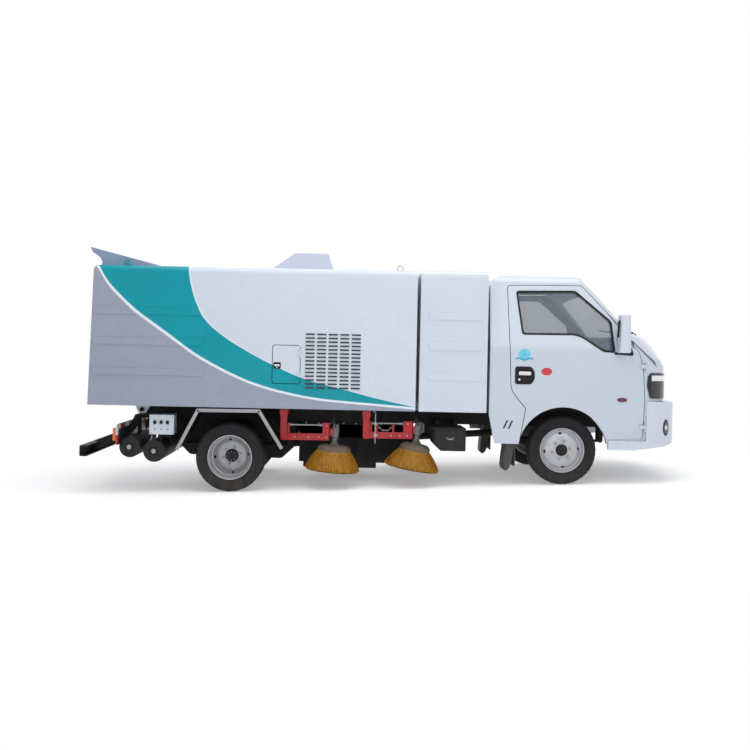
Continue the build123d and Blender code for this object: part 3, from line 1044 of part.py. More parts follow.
with BuildPart() as cab_shell:
    add(cab_outer)
    add(interior.part, mode=Mode.SUBTRACT)
    # open underside between the side skirts
    with BuildSketch(Plane.XZ):
        polygon([(CAB_REAR - 60, 100), (CAB_REAR - 60, FLOOR_TOP - FLOOR_THICKNESS),
                 (FOOTWELL_X - 40 - FLOOR_THICKNESS, FLOOR_TOP - FLOOR_THICKNESS),
                 (FOOTWELL_X - FLOOR_THICKNESS, FOOTWELL_TOP - FLOOR_THICKNESS),
                 (FIREWALL_X + FLOOR_THICKNESS, FOOTWELL_TOP - FLOOR_THICKNESS),
                 (FIREWALL_X + FLOOR_THICKNESS, NOSE_BOTTOM), (4200, NOSE_BOTTOM), (4200, 100)])
    extrude(amount=CAB_HALF_WIDTH - CAB_WALL, both=True, mode=Mode.SUBTRACT)
    # the bumper takes the nose's lower part, outside the footwell
    with BuildSketch(Plane.XZ):
        polygon([(FIREWALL_X + FLOOR_THICKNESS, 100), (FIREWALL_X + FLOOR_THICKNESS, NOSE_BOTTOM),
                 (4200, NOSE_BOTTOM), (4200, 100)])
    extrude(amount=1000, both=True, mode=Mode.SUBTRACT)
    for side in (-1, 1):
        with BuildSketch(Plane.XZ.offset(side * (CAB_HALF_WIDTH - CAB_WALL))):
            polygon([(BUMPER_REAR - LAMP_GAP, 100), (BUMPER_REAR - LAMP_GAP, NOSE_BOTTOM), (3700, NOSE_BOTTOM),
                     (3700, 100)])
        extrude(amount=side * 200, mode=Mode.SUBTRACT)
    with BuildSketch(Plane.XZ):
        polygon([(ARCH_X + 300, 100), (ARCH_X + 300, SILL_HIGH + LAMP_GAP), (4200, SILL_HIGH + LAMP_GAP),
                 (4200, 100)])
    extrude(amount=1000, both=True, mode=Mode.SUBTRACT)
    add(arch_cutter(), mode=Mode.SUBTRACT)
    for flip in (False, True):
        for cutter in (door_pocket, lamp_pocket):
            add(mirror(cutter, about=Plane.XZ, mode=Mode.PRIVATE) if flip else cutter, mode=Mode.SUBTRACT)
    add(screen_prism(0.0), mode=Mode.SUBTRACT)
    with Locations((CAB_NOSE, 0, (GRILLE_LOW + GRILLE_HIGH) / 2)):
        Box(240, 2 * GRILLE_HALF, GRILLE_HIGH - GRILLE_LOW, mode=Mode.SUBTRACT)
    # mounts down onto the rails
    for mount_x, floor_z in ((2330, FLOOR_TOP), (3440, FOOTWELL_TOP)):
        for side in (-1, 1):
            with Locations((mount_x, side * (RAIL_OUTER_Y - RAIL_FLANGE / 2), RAIL_TOP)):
                Box(70, 50, floor_z - FLOOR_THICKNESS / 2 - RAIL_TOP, align=(Align.CENTER, Align.CENTER, Align.MIN))
    for hinge_z in DOOR_HINGE_Z:
        fixed_half = side_hinge_fixed(DOOR_HINGE_X, CAB_HALF_WIDTH, hinge_z, 2)
        add(fixed_half)
        add(mirror(fixed_half, about=Plane.XZ, mode=Mode.PRIVATE))
finish(cab_shell.part, "cab_shell")

with BuildPart() as cab_door:
    add(cab_outer)
    add(cab_inner, mode=Mode.SUBTRACT)
    add(door_prism(MOVE_GAP), mode=Mode.INTERSECT)
    add(window_prism, mode=Mode.SUBTRACT)
    for hinge_z in DOOR_HINGE_Z:
        add(side_hinge_moving(DOOR_HINGE_X, CAB_HALF_WIDTH, hinge_z, 46))
    # recess for the handle
    with BuildSketch(Plane.XZ.offset(CAB_HALF_WIDTH - 25)):
        with Locations((2549, 768)):
            RectangleRounded(150, 120, 40)
    extrude(amount=60, mode=Mode.SUBTRACT)
finish(cab_door.part, "cab_door_right")
finish(mirror(cab_door.part, about=Plane.XZ), "cab_door_left")

with BuildPart() as door_glass:
    add(glass_layer)
    with BuildSketch(Plane.XZ.offset(400)):
        polygon(WINDOW_OUTLINE, radius=list(WINDOW_RADII))
        offset(amount=-SEAT_GAP, mode=Mode.REPLACE)
    extrude(amount=600, mode=Mode.INTERSECT)
finish(door_glass.part, "door_glass_right")
finish(mirror(door_glass.part, about=Plane.XZ), "door_glass_left")

with BuildPart() as windscreen:
    add(glass_layer)
    add(screen_prism(SEAT_GAP), mode=Mode.INTERSECT)
finish(windscreen.part, "windscreen")

# ---- Bumper, headlamps and grille ----
with BuildPart() as front_bumper:
    with BuildSketch(Plane.XY.offset(100)):
        plan_outline(BUMPER_NOSE, BUMPER_HALF_WIDTH, CAB_REAR)
    extrude(amount=600)
    with BuildSketch(Plane.XZ):
        polygon([(BUMPER_REAR, BUMPER_TOP), (3975, BUMPER_TOP - 10), (BUMPER_NOSE + 5, 500),
                 (BUMPER_NOSE + 5, 400), (BUMPER_NOSE - 18, 262), (BUMPER_NOSE - 45, 215), (3790, 178),
                 (3500, 137), (ARCH_X + 389, 137), (ARCH_X + 389, SILL_HIGH), (BUMPER_REAR, SILL_HIGH)],
                radius=[0, 20, 30, 60, 40, 20, 60, 60, 10, 10, 0])
    extrude(amount=1000, both=True, mode=Mode.INTERSECT)
    with BuildSketch(Plane.XY.offset(50)):
        plan_outline(BUMPER_NOSE - BUMPER_WALL, BUMPER_HALF_WIDTH - BUMPER_WALL, CAB_REAR)
    extrude(amount=BUMPER_TOP - BUMPER_WALL - 50, mode=Mode.SUBTRACT)
    with Locations((3700, 0, BUMPER_TOP)):
        Box(200, 1560, 120, mode=Mode.SUBTRACT)
    # arms back to the rails' ends
    for side in (-1, 1):
        with Locations((RAIL_FRONT + SEAT_GAP, side * (RAIL_OUTER_Y - 20), (RAIL_TOP + RAIL_BOTTOM) / 2)):
            Box(BUMPER_NOSE - BUMPER_WALL - RAIL_FRONT - 20, 40, 100, align=(Align.MIN, Align.CENTER, Align.CENTER))
finish(front_bumper.part, "front_bumper")

with BuildPart() as headlamps:
    add(lamp_zone)
    add(mirror(lamp_zone, about=Plane.XZ, mode=Mode.PRIVATE))
finish(headlamps.part, "headlamps")

GRILLE_BARS = 4
with BuildPart() as grille:
    with BuildSketch(Plane.YZ.offset(CAB_NOSE - CAB_WALL - 20)):
        with Locations((0, (GRILLE_LOW + GRILLE_HIGH) / 2)):
            Rectangle(2 * (GRILLE_HALF - SEAT_GAP), GRILLE_HIGH - GRILLE_LOW - 2 * SEAT_GAP)
            with GridLocations(1, (GRILLE_HIGH - GRILLE_LOW) / GRILLE_BARS, 1, GRILLE_BARS):
                Rectangle(2 * GRILLE_HALF - 40, (GRILLE_HIGH - GRILLE_LOW) / GRILLE_BARS - 14, mode=Mode.SUBTRACT)
    extrude(amount=34)
finish(grille.part, "grille")

# ---- Cab interior ----
DRIVER_Y = 380.0
COLUMN_TILT = 32.0           # steering column's lean from the vertical, in degrees
WHEEL_CENTRE = (3270.0, DRIVER_Y, 985.0)
WHEEL_RIM_RADIUS, WHEEL_GRIP_RADIUS = 190.0, 14.0
COLUMN_RADIUS = 20.0
COLUMN_LENGTH = 190.0
column_down = (sin(radians(COLUMN_TILT)), 0, -cos(radians(COLUMN_TILT)))
wheel_face = Plane(origin=WHEEL_CENTRE, x_dir=(0, 1, 0), z_dir=column_down)

with BuildPart() as dashboard:
    with BuildSketch(Plane.XZ):
        polygon([(3400, 800), (3385, 930), (3430, 1010), (3560, 1040), (3850, 1040), (3850, 800)],
                radius=[30, 40, 50, 60, 0, 0])
    extrude(amount=CAB_HALF_WIDTH - 60, both=True)
    add(cab_volume(CAB_WALL + 0.5), mode=Mode.INTERSECT)
    # instrument hood, and the bracket that takes the steering column
    with Locations((3450, DRIVER_Y, 1005)):
        Box(90, 320, 80)
    with BuildSketch(wheel_face.offset(COLUMN_LENGTH - 70)):
        Circle(COLUMN_RADIUS + 18)
    extrude(amount=150)
    with BuildSketch(wheel_face.offset(COLUMN_LENGTH - 90)):
        Circle(COLUMN_RADIUS + 0.5)
    extrude(amount=95, mode=Mode.SUBTRACT)
    with BuildSketch(wheel_face.offset(-40)):
        Circle(WHEEL_RIM_RADIUS + 30)
    extrude(amount=80, mode=Mode.SUBTRACT)
finish(dashboard.part, "dashboard")

with BuildPart() as steering_wheel:
    with BuildSketch(Plane(origin=WHEEL_CENTRE, x_dir=(0, 1, 0), z_dir=(cos(radians(COLUMN_TILT)), 0,
                                                                      sin(radians(COLUMN_TILT))))):
        with Locations((WHEEL_RIM_RADIUS, 0)):
            Circle(WHEEL_GRIP_RADIUS)
    revolve(axis=Axis(WHEEL_CENTRE, column_down))
    with BuildSketch(wheel_face.offset(10)):
        Circle(48)
        with PolarLocations(WHEEL_RIM_RADIUS / 2, 3, start_angle=90):
            Rectangle(WHEEL_RIM_RADIUS, 34)
    extrude(amount=14)
    with BuildSketch(wheel_face.offset(10)):
        Circle(COLUMN_RADIUS)
    extrude(amount=COLUMN_LENGTH - 10)
finish(steering_wheel.part, "steering_wheel")

SEAT_Y = 400.0
SEAT_HALF = 245.0
with BuildPart() as seat:
    with BuildSketch(Plane.XZ.offset(SEAT_Y - SEAT_HALF)):
        polygon([(2480, FLOOR_TOP + SEAT_GAP), (2455, 690), (2340, 1240), (2420, 1330), (2500, 1250), (2590, 745),
                 (2960, 760), (3010, 700), (2960, FLOOR_TOP + SEAT_GAP)],
                radius=[0, 60, 60, 40, 60, 70, 50, 40, 0])
    extrude(amount=2 * SEAT_HALF)
finish(both_sides(seat.part), "seats")

# ---- Mirrors on the doors ----
MIRROR_X, MIRROR_Y = 3378.0, 905.0
with BuildPart() as door_mirror:
    with BuildSketch(Plane.XY.offset(980)):
        with Locations((MIRROR_X, -MIRROR_Y)):
            RectangleRounded(100, 150, 34)
    extrude(amount=330, taper=1.5)
    fillet(door_mirror.edges().group_by(Axis.Z)[-1] + door_mirror.edges().group_by(Axis.Z)[0], 16)
    with BuildSketch(Plane.XZ.offset(CAB_HALF_WIDTH - 25)):
        polygon([(3352, 990), (3346, 1040), (3395, 1080), (3432, 1040), (3436, 990)], radius=12)
    extrude(amount=60)
    add(cab_volume(-SEAT_GAP), mode=Mode.SUBTRACT)
finish(door_mirror.part, "door_mirror_right")
finish(mirror(door_mirror.part, about=Plane.XZ), "door_mirror_left")

# ---- Side brushes ----
BRUSH_Y = 640.0
BRUSH_PIN_RADIUS = 14.0
BRUSH_ARM_HALF = 28.0
BRUSH_CHEEK = 6.0
BRUSH_CHEEK_GAP = 5.0
# name, pivot x, pivot z, beam half height, beam end x, rod z, link end x, motor x, motor z, tilt in degrees,
# disc radius, bristle radius, distances down the spindle to the disc's top, its foot and the bristles' ends
BRUSHES = (
    ("rear", 455.0, 181.0, 30.0, 828.0, 285.0, 866.0, 917.0, 285.0, 4.0, 150.0, 252.0, 162.0, 243.0, 409.0),
    ("front", 1185.0, 208.0, 29.0, 1542.0, 312.0, 1602.0, 1655.0, 320.0, 9.0, 135.0, 255.0, 172.0, 262.0, 415.0),
)
BRUSH_MOUNT_TOP = 420.0

with BuildPart() as brush_mount:
    for name, pivot_x, pivot_z, *_ in BRUSHES:
        with Locations((pivot_x, -(RAIL_OUTER_Y + BRUSH_Y + 60) / 2, BRUSH_MOUNT_TOP - 25)):
            Box(70, BRUSH_Y + 60 - RAIL_OUTER_Y, 50)
        for side in (-1, 1):
            cheek_y = BRUSH_Y + side * (BRUSH_ARM_HALF + BRUSH_CHEEK_GAP + BRUSH_CHEEK / 2)
            with BuildSketch(Plane.XZ.offset(cheek_y)):
                polygon([(pivot_x - 28, pivot_z - 32), (pivot_x - 28, BRUSH_MOUNT_TOP - 20),
                         (pivot_x + 28, BRUSH_MOUNT_TOP - 20), (pivot_x + 28, pivot_z - 32)], radius=[20, 0, 0, 20])
            extrude(amount=BRUSH_CHEEK / 2, both=True)
        with BuildSketch(Plane.XZ.offset(BRUSH_Y)):
            with Locations((pivot_x, pivot_z)):
                Circle(BRUSH_PIN_RADIUS)
        extrude(amount=BRUSH_ARM_HALF + BRUSH_CHEEK_GAP + BRUSH_CHEEK + 6, both=True)
finish(both_sides(brush_mount.part), "brush_mounts")

for (name, pivot_x, pivot_z, beam_half, beam_end, rod_z, link_end, motor_x, motor_z, tilt, disc_radius,
     bristle_radius, disc_top, disc_foot, bristle_end) in BRUSHES:
    spindle = Plane(origin=(motor_x, -BRUSH_Y, motor_z), x_dir=(cos(radians(tilt)), 0, -sin(radians(tilt))),
                    z_dir=(-sin(radians(tilt)), 0, -cos(radians(tilt))))
    with BuildPart() as arm:
        with BuildSketch(Plane.XZ.offset(BRUSH_Y)):      # lower beam and upright link plate
            polygon([(pivot_x, pivot_z - beam_half), (pivot_x, pivot_z + beam_half),
                     (beam_end, pivot_z + beam_half), (beam_end, pivot_z - beam_half)])
            with Locations((pivot_x, pivot_z)):
                Circle(beam_half)
            polygon([(beam_end - 30, pivot_z - beam_half - 1), (beam_end - 30, rod_z + 22),
                     (link_end, rod_z + 22), (link_end, pivot_z - beam_half - 1)], radius=10)
            with Locations((pivot_x, pivot_z)):
                Circle(BRUSH_PIN_RADIUS + RUNNING, mode=Mode.SUBTRACT)
        extrude(amount=BRUSH_ARM_HALF, both=True)
        with BuildSketch(Plane.YZ.offset(pivot_x + 34)):     # upper rod
            with Locations((-BRUSH_Y, rod_z)):
                Circle(9)
        extrude(amount=beam_end - pivot_x - 50)
        with Locations(((link_end + motor_x) / 2 - 10, -BRUSH_Y, motor_z - 60)):
            Box(motor_x - link_end + 40, 50, 60)
        with BuildSketch(spindle.offset(-10)):
            Circle(36)
        extrude(amount=disc_top)
    finish(arm.part, f"{name}_brush_arm_right")
    finish(mirror(arm.part, about=Plane.XZ), f"{name}_brush_arm_left")
    with BuildPart() as brush:
        radius_plane = Plane(origin=spindle.origin, x_dir=spindle.x_dir, z_dir=(0, 1, 0))
        with BuildSketch(radius_plane):
            polygon([(0, disc_top - 9.7), (40, disc_top - 9.7), (40, disc_top + 8), (disc_radius - 20, disc_top + 8),
                     (disc_radius, disc_top + 30), (disc_radius, disc_foot), (bristle_radius, bristle_end),
                     (bristle_radius - 52, bristle_end), (disc_radius - 40, disc_foot), (0, disc_foot)])
        revolve(axis=Axis(spindle.origin, spindle.z_dir))
    finish(brush.part, f"{name}_brush_right")
    finish(mirror(brush.part, about=Plane.XZ), f"{name}_brush_left")

# ---- Written out, with the origin under the middle of the truck's length ----
tail_end = pieces["rear_bumper"].bounding_box().min.X
nose_end = pieces["front_bumper"].bounding_box().max.X
centre_shift = -(tail_end + nose_end) / 2
print("centre shift", centre_shift)
os.makedirs("parts", exist_ok=True)
for name, piece in pieces.items():
    placed = Location((centre_shift, 0, 0)) * piece
    placed.label = name
    export_step(placed, f"parts/{name}.step")
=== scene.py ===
import math
import random

import bmesh
import bpy
from mathutils import Matrix, Vector


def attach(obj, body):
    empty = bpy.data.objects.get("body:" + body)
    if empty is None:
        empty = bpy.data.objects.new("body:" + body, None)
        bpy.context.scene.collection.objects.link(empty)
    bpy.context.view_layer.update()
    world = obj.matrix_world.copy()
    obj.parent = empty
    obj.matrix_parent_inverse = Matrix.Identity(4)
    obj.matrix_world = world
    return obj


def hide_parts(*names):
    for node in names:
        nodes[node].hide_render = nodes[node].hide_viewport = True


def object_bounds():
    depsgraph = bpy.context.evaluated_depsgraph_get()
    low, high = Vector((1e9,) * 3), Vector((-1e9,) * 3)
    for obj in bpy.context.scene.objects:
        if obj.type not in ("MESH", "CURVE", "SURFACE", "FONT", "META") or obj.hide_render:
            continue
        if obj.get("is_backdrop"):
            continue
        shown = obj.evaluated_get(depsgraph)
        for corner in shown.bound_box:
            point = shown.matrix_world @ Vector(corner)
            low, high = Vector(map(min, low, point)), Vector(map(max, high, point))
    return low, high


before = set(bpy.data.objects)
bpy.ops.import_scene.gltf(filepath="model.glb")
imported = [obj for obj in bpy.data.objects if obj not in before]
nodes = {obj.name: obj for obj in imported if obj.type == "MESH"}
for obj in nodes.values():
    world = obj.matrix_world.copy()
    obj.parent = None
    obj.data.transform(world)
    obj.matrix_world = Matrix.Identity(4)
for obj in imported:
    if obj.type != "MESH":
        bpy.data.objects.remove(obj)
sizeAtLoad = [list(corner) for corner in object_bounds()]
print("frame loaded,", len(nodes), "nodes")

# The frame rails slope a little down to the nose, so pieces are made level and turned at the end.
truck = {"shift": -1.3449138, "axleHeight": 0.3, "axleRise": 0.118, "wheelBase": 2.898}
railSlope = math.atan(truck["axleRise"] / truck["wheelBase"])
toRow = Matrix.Translation((truck["shift"], 0, truck["axleHeight"])) @ Matrix.Rotation(railSlope, 4, "Y")


def tint(red, green, blue):
    parts = [c / 255 for c in (red, green, blue)]
    return [c / 12.92 if c < 0.04045 else ((c + 0.055) / 1.055) ** 2.4 for c in parts] + [1]


# ---- camera, lamps and floor ----
view = {"place": (-0.324, -8.85, 1.213), "lens": 44.4, "shift": (0.04, -0.033), "roll": -1.13, "farthest": 200}
camera = bpy.data.objects.new("camera", bpy.data.cameras.new("camera"))
bpy.context.scene.collection.objects.link(camera)
camera.location = view["place"]
camera.rotation_euler = (Matrix.Rotation(math.radians(90), 3, "X")
                         @ Matrix.Rotation(math.radians(view["roll"]), 3, "Z")).to_euler()
camera.data.lens = view["lens"]
camera.data.shift_x, camera.data.shift_y = view["shift"]
camera.data.clip_end = view["farthest"]
bpy.context.scene.camera = camera
bpy.context.scene.view_settings.view_transform = "Standard"

lamps = {
    "topLamp": {"place": (0.5, -1.5, 6.5), "target": (0, 0, 1), "size": (7, 5), "power": 262},
    "frontLamp": {"place": (2.5, -8, 4.5), "target": (0.2, 0, 0.9), "size": (6, 4), "power": 112},
    "backLamp": {"place": (-3, 7, 4.5), "target": (0, 0, 0.9), "size": (6, 4), "power": 118},
}
for name, values in lamps.items():
    lamp = bpy.data.objects.new(name, bpy.data.lights.new(name, "AREA"))
    bpy.context.scene.collection.objects.link(lamp)
    lamp.data.shape, lamp.data.energy = "RECTANGLE", values["power"]
    lamp.data.size, lamp.data.size_y = values["size"]
    lamp.location = values["place"]
    lamp.rotation_mode = "QUATERNION"
    lamp.rotation_quaternion = (Vector(values["target"]) - Vector(values["place"])).to_track_quat("-Z", "Y")


def put(tree, kind, links=None, **settings):  # one shader node, its inputs set or linked
    made = tree.nodes.new(kind if kind.startswith("Node") else "ShaderNode" + kind)
    for key, value in settings.items():
        setattr(made, key, value)
    for key, value in (links or {}).items():
        if isinstance(value, bpy.types.NodeSocket):
            tree.links.new(value, made.inputs[key])
        else:
            made.inputs[key].default_value = value
    made.location = (220 * (len(tree.nodes) % 9), -260 * (len(tree.nodes) // 9))
    return made


def sums(tree, kind, first, second=0.0, third=0.5):
    return put(tree, "Math", {0: first, 1: second, 2: third}, operation=kind).outputs[0]


def times(tree, first, second):
    return sums(tree, "MULTIPLY", first, second)


def ramp(tree, value, start, end, low=0.0, high=1.0):
    return put(tree, "MapRange", {0: value, 1: start, 2: end, 3: low, 4: high}).outputs[0]


def blendColour(tree, factor, first, second):
    return put(tree, "Mix", {0: factor, 6: first, 7: second}, data_type="RGBA").outputs[2]


sky = {"colour": (0.97, 0.985, 1, 1), "strength": 0.52, "behind": (1, 1, 1, 1)}
world = bpy.data.worlds.new("studio")
bpy.context.scene.world = world
world.use_nodes = True
world.node_tree.nodes.clear()
rays = put(world.node_tree, "LightPath").outputs
seen = sums(world.node_tree, "MAXIMUM", rays["Is Camera Ray"], rays["Is Glossy Ray"])
seen = sums(world.node_tree, "MAXIMUM", seen, rays["Is Transmission Ray"])
plain = put(world.node_tree, "Background", {"Color": sky["colour"], "Strength": sky["strength"]})
white = put(world.node_tree, "Background", {"Color": sky["behind"], "Strength": 1.0})
mixed = put(world.node_tree, "MixShader", {0: seen, 1: plain.outputs[0], 2: white.outputs[0]})
put(world.node_tree, "OutputWorld", {0: mixed.outputs[0]})


def blankMaterial(name):
    made = bpy.data.materials.new(name)
    made.use_nodes = True
    return made, made.node_tree, made.node_tree.nodes["Principled BSDF"].inputs


ground = {"half": 14.0, "colour": (0.9, 0.9, 0.9, 1), "glow": (0.3, 0.3, 0.3, 1), "fade": (2.6, 5.0)}
shape = bmesh.new()
bmesh.ops.create_grid(shape, x_segments=1, y_segments=1, size=ground["half"])
floorMesh = bpy.data.meshes.new("floor")
shape.to_mesh(floorMesh)
shape.free()
floor = bpy.data.objects.new("floor", floorMesh)
bpy.context.scene.collection.objects.link(floor)
floorPaint, tree, shader = blankMaterial("studioFloor")
away = put(tree, "VectorMath", {0: put(tree, "TexCoord").outputs["Object"]}, operation="LENGTH").outputs["Value"]
away = put(tree, "MapRange", {0: away, 1: ground["fade"][0], 2: ground["fade"][1]},
           interpolation_type="SMOOTHSTEP").outputs[0]
tree.links.new(blendColour(tree, away, ground["colour"], (0, 0, 0, 1)), shader["Base Color"])
tree.links.new(blendColour(tree, away, ground["glow"], (1, 1, 1, 1)), shader["Emission Color"])
shader["Emission Strength"].default_value = 1.0
shader["Roughness"].default_value = 0.9
shader["Specular IOR Level"].default_value = 0.0
floorMesh.materials.append(floorPaint)
floor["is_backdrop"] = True
print("camera, lamps and floor placed")


# ---- shader groups, each built once ----
def newGroup(name, ins, outs):
    tree = bpy.data.node_groups.new(name, "ShaderNodeTree")
    for label, value in ins.items():
        tree.interface.new_socket(label, in_out="INPUT", socket_type="NodeSocketFloat").default_value = value
    for label in outs:
        tree.interface.new_socket(label, in_out="OUTPUT", socket_type="NodeSocketFloat")
    return tree, put(tree, "NodeGroupInput").outputs, put(tree, "NodeGroupOutput").inputs


def useGroup(tree, group, values):
    made = put(tree, "Group", node_tree=group)
    for key, value in values.items():
        made.inputs[key].default_value = value
    return made.outputs


def levelPlace(tree):  # the place on the truck before it is turned, and its x, y and z
    where = put(tree, "TexCoord").outputs["Object"]
    mapped = put(tree, "Mapping", {"Vector": where, "Location": (truck["shift"], 0, truck["axleHeight"]),
                                   "Rotation": (0, railSlope, 0)}, vector_type="TEXTURE").outputs[0]
    return mapped, put(tree, "SeparateXYZ", {0: mapped}).outputs


def noise(tree, place, scale, detail, rough=0.5):
    values = {"Vector": place, "Scale": scale, "Detail": detail, "Roughness": rough}
    return put(tree, "TexNoise", values).outputs[0]


grain, gIn, gOut = newGroup("grain", {"Scale": 30.0, "Smooth": 0.3, "Rough": 0.5}, ("Value", "Roughness", "Height"))
place = put(grain, "TexCoord").outputs["Object"]
value = ramp(grain, noise(grain, place, gIn["Scale"], 5.0, 0.6), 0.3, 0.7)
fine = noise(grain, place, times(grain, gIn["Scale"], 9.0), 2.0)
grain.links.new(value, gOut["Value"])
grain.links.new(ramp(grain, value, 0.0, 1.0, gIn["Smooth"], gIn["Rough"]), gOut["Roughness"])
grain.links.new(sums(grain, "MULTIPLY_ADD", fine, 0.5, value), gOut["Height"])

dust, gIn, gOut = newGroup("roadDust", {"Reach": 0.9, "Amount": 0.3}, ("Mask",))
place, part = levelPlace(dust)
low = ramp(dust, part[2], -0.3, gIn["Reach"], 1.0, 0.0)
stretched = put(dust, "Mapping", {"Vector": place, "Scale": (9, 9, 1.6)}).outputs[0]
patchy = ramp(dust, noise(dust, stretched, 2.0, 6.0, 0.65), 0.35, 0.75, 0.15)
dust.links.new(times(dust, times(dust, low, patchy), gIn["Amount"]), gOut["Mask"])

chips, gIn, gOut = newGroup("chips", {"Scale": 60.0, "Amount": 0.1}, ("Mask",))
flecks = noise(chips, put(chips, "TexCoord").outputs["Object"], gIn["Scale"], 4.0, 0.7)
start = sums(chips, "SUBTRACT", 0.78, times(chips, gIn["Amount"], 0.3))
chips.links.new(ramp(chips, flecks, start, sums(chips, "ADD", start, 0.03)), gOut["Mask"])

weave, gIn, gOut = newGroup("weave", {"Scale": 300.0}, ("Value", "Height"))
place = put(weave, "TexCoord").outputs["Object"]
warp, weft, cross = (put(weave, "TexWave", {"Vector": place, "Scale": gIn["Scale"], "Distortion": 0.6},
                         bands_direction=way).outputs[1] for way in "XZY")
over = sums(weave, "MAXIMUM", times(weave, warp, weft), cross)
weave.links.new(over, gOut["Value"])
weave.links.new(over, gOut["Height"])

# the teal band: its front edge as x over height, its lower edge as height over x
stripes = {
    "xRange": (-1.3, 1.7), "zRange": (0.4, 1.7),
    "front": [(1.7, 0.452), (1.594, 0.474), (1.275, 0.54), (0.986, 0.611), (0.641, 0.698), (0.348, 0.82),
              (0.123, 0.935), (-0.067, 1.051), (-0.224, 1.184), (-0.295, 1.303), (-0.359, 1.49), (-0.384, 1.66)],
    "lower": [(-1.2, 1.7), (-1.149, 1.627), (-1.087, 1.525), (-0.964, 1.391), (-0.834, 1.274), (-0.651, 1.141),
              (-0.486, 1.025), (-0.321, 0.908), (-0.13, 0.801), (0.042, 0.719), (0.232, 0.646), (0.473, 0.583),
              (0.73, 0.537), (0.988, 0.513), (1.276, 0.494), (1.596, 0.47)],
    "line": (0.036, 0.019), "lineRange": (-1.1, 0.5), "frontLine": 0.012,
    "skin": 0.822, "roofEdge": 1.615, "inward": 0.79,  # the paint stays off the walls' inner faces and the roof
}
band, gIn, gOut = newGroup("tealBand", {"Edge": 0.002}, ("Teal", "Grey", "Line"))
place, part = levelPlace(band)
across, upward = stripes["xRange"], stripes["zRange"]
xPart, zPart = ramp(band, part[0], *across), ramp(band, part[2], *upward)


def curveNode(tree, source, points):
    made = put(tree, "FloatCurve", {"Value": source})
    curve = made.mapping.curves[0]
    curve.points[0].location, curve.points[1].location = points[0], points[-1]
    for point in points[1:-1]:
        curve.points.new(*point)
    made.mapping.update()
    return made.outputs[0]


def share(value, ends):
    return (value - ends[0]) / (ends[1] - ends[0])


frontX = curveNode(band, zPart, sorted((share(z, upward), share(x, across)) for x, z in stripes["front"]))
lowerZ = curveNode(band, xPart, sorted((share(x, across), share(z, upward)) for x, z in stripes["lower"]))
frontGap = times(band, sums(band, "SUBTRACT", frontX, xPart), across[1] - across[0])
lowerGap = times(band, sums(band, "SUBTRACT", zPart, lowerZ), upward[1] - upward[0])
lineWidth = ramp(band, part[0], *stripes["lineRange"], *stripes["line"])
wide = sums(band, "ABSOLUTE", part[1])
overEdge = sums(band, "MAXIMUM", sums(band, "SUBTRACT", part[2], stripes["roofEdge"]), 0.0)
onSkin = sums(band, "GREATER_THAN", sums(band, "ADD", wide, overEdge), stripes["skin"])
onSide = times(band, sums(band, "GREATER_THAN", wide, stripes["inward"]), onSkin)
inFront = ramp(band, frontGap, 0.0, gIn["Edge"])
overLower = ramp(band, lowerGap, 0.0, gIn["Edge"])
overLine = ramp(band, sums(band, "ADD", lowerGap, lineWidth), 0.0, gIn["Edge"])
paleEdge = ramp(band, sums(band, "ADD", frontGap, stripes["frontLine"]), 0.0, gIn["Edge"])
lineMask = sums(band, "MAXIMUM", sums(band, "SUBTRACT", overLine, overLower),
                times(band, sums(band, "SUBTRACT", paleEdge, inFront), overLine))
masks = {"Teal": times(band, inFront, overLower), "Grey": sums(band, "SUBTRACT", 1.0, overLine), "Line": lineMask}
for label, mask in masks.items():
    band.links.new(times(band, mask, onSide), gOut[label])
print("shader groups built")


# ---- materials ----
def finishMaterial(name, colour, shade, rough, scale, bump, metal=0.0, coat=0.0, dusty=0.25, dustReach=0.9,
                   chipped=0.0, chipColour=(70, 66, 62), shine=0.5, build=None):
    made, tree, shader = blankMaterial(name)
    surface = useGroup(tree, grain, {"Scale": scale, "Smooth": rough[0], "Rough": rough[1]})
    base = blendColour(tree, surface["Value"], tint(*shade), tint(*colour))
    if build:
        base = build(tree, base, surface)
    roughness = surface["Roughness"]
    if chipped:
        worn = useGroup(tree, chips, {"Scale": scale * 1.7, "Amount": chipped})
        base = blendColour(tree, worn["Mask"], base, tint(*chipColour))
    if dusty:
        dirt = useGroup(tree, dust, {"Reach": dustReach, "Amount": dusty})
        base = blendColour(tree, dirt["Mask"], base, tint(128, 118, 104))
        roughness = put(tree, "Mix", {0: dirt["Mask"], 2: roughness, 3: 0.85}, data_type="FLOAT").outputs[0]
    tree.links.new(base, shader["Base Color"])
    tree.links.new(roughness, shader["Roughness"])
    if bump:
        lift = put(tree, "Bump", {"Strength": 0.6, "Distance": bump * 0.01, "Height": surface["Height"]})
        tree.links.new(lift.outputs[0], shader["Normal"])
    for label, value in (("Metallic", metal), ("Coat Weight", coat), ("Coat Roughness", 0.08),
                         ("Specular IOR Level", shine)):
        shader[label].default_value = value


def bandPaint(tree, base, surface):
    masks = useGroup(tree, band, {"Edge": 0.002})
    grey = blendColour(tree, surface["Value"], tint(148, 155, 172), tint(152, 159, 176))
    teal = blendColour(tree, surface["Value"], tint(0, 143, 158), tint(2, 149, 164))
    base = blendColour(tree, masks["Grey"], base, grey)
    base = blendColour(tree, masks["Line"], base, tint(222, 230, 238))
    return blendColour(tree, masks["Teal"], base, teal)


def louvreShadePaint(tree, base, surface):  # the hoods stand proud of the sheet; their white faces are painted near black, painted shade for the slots beneath them
    part = levelPlace(tree)[1]
    proud = sums(tree, "GREATER_THAN", sums(tree, "ABSOLUTE", part[1]), 0.8502)
    # painted shade: near black on the hoods' outer faces
    return blendColour(tree, proud, bandPaint(tree, base, surface), tint(20, 23, 28))


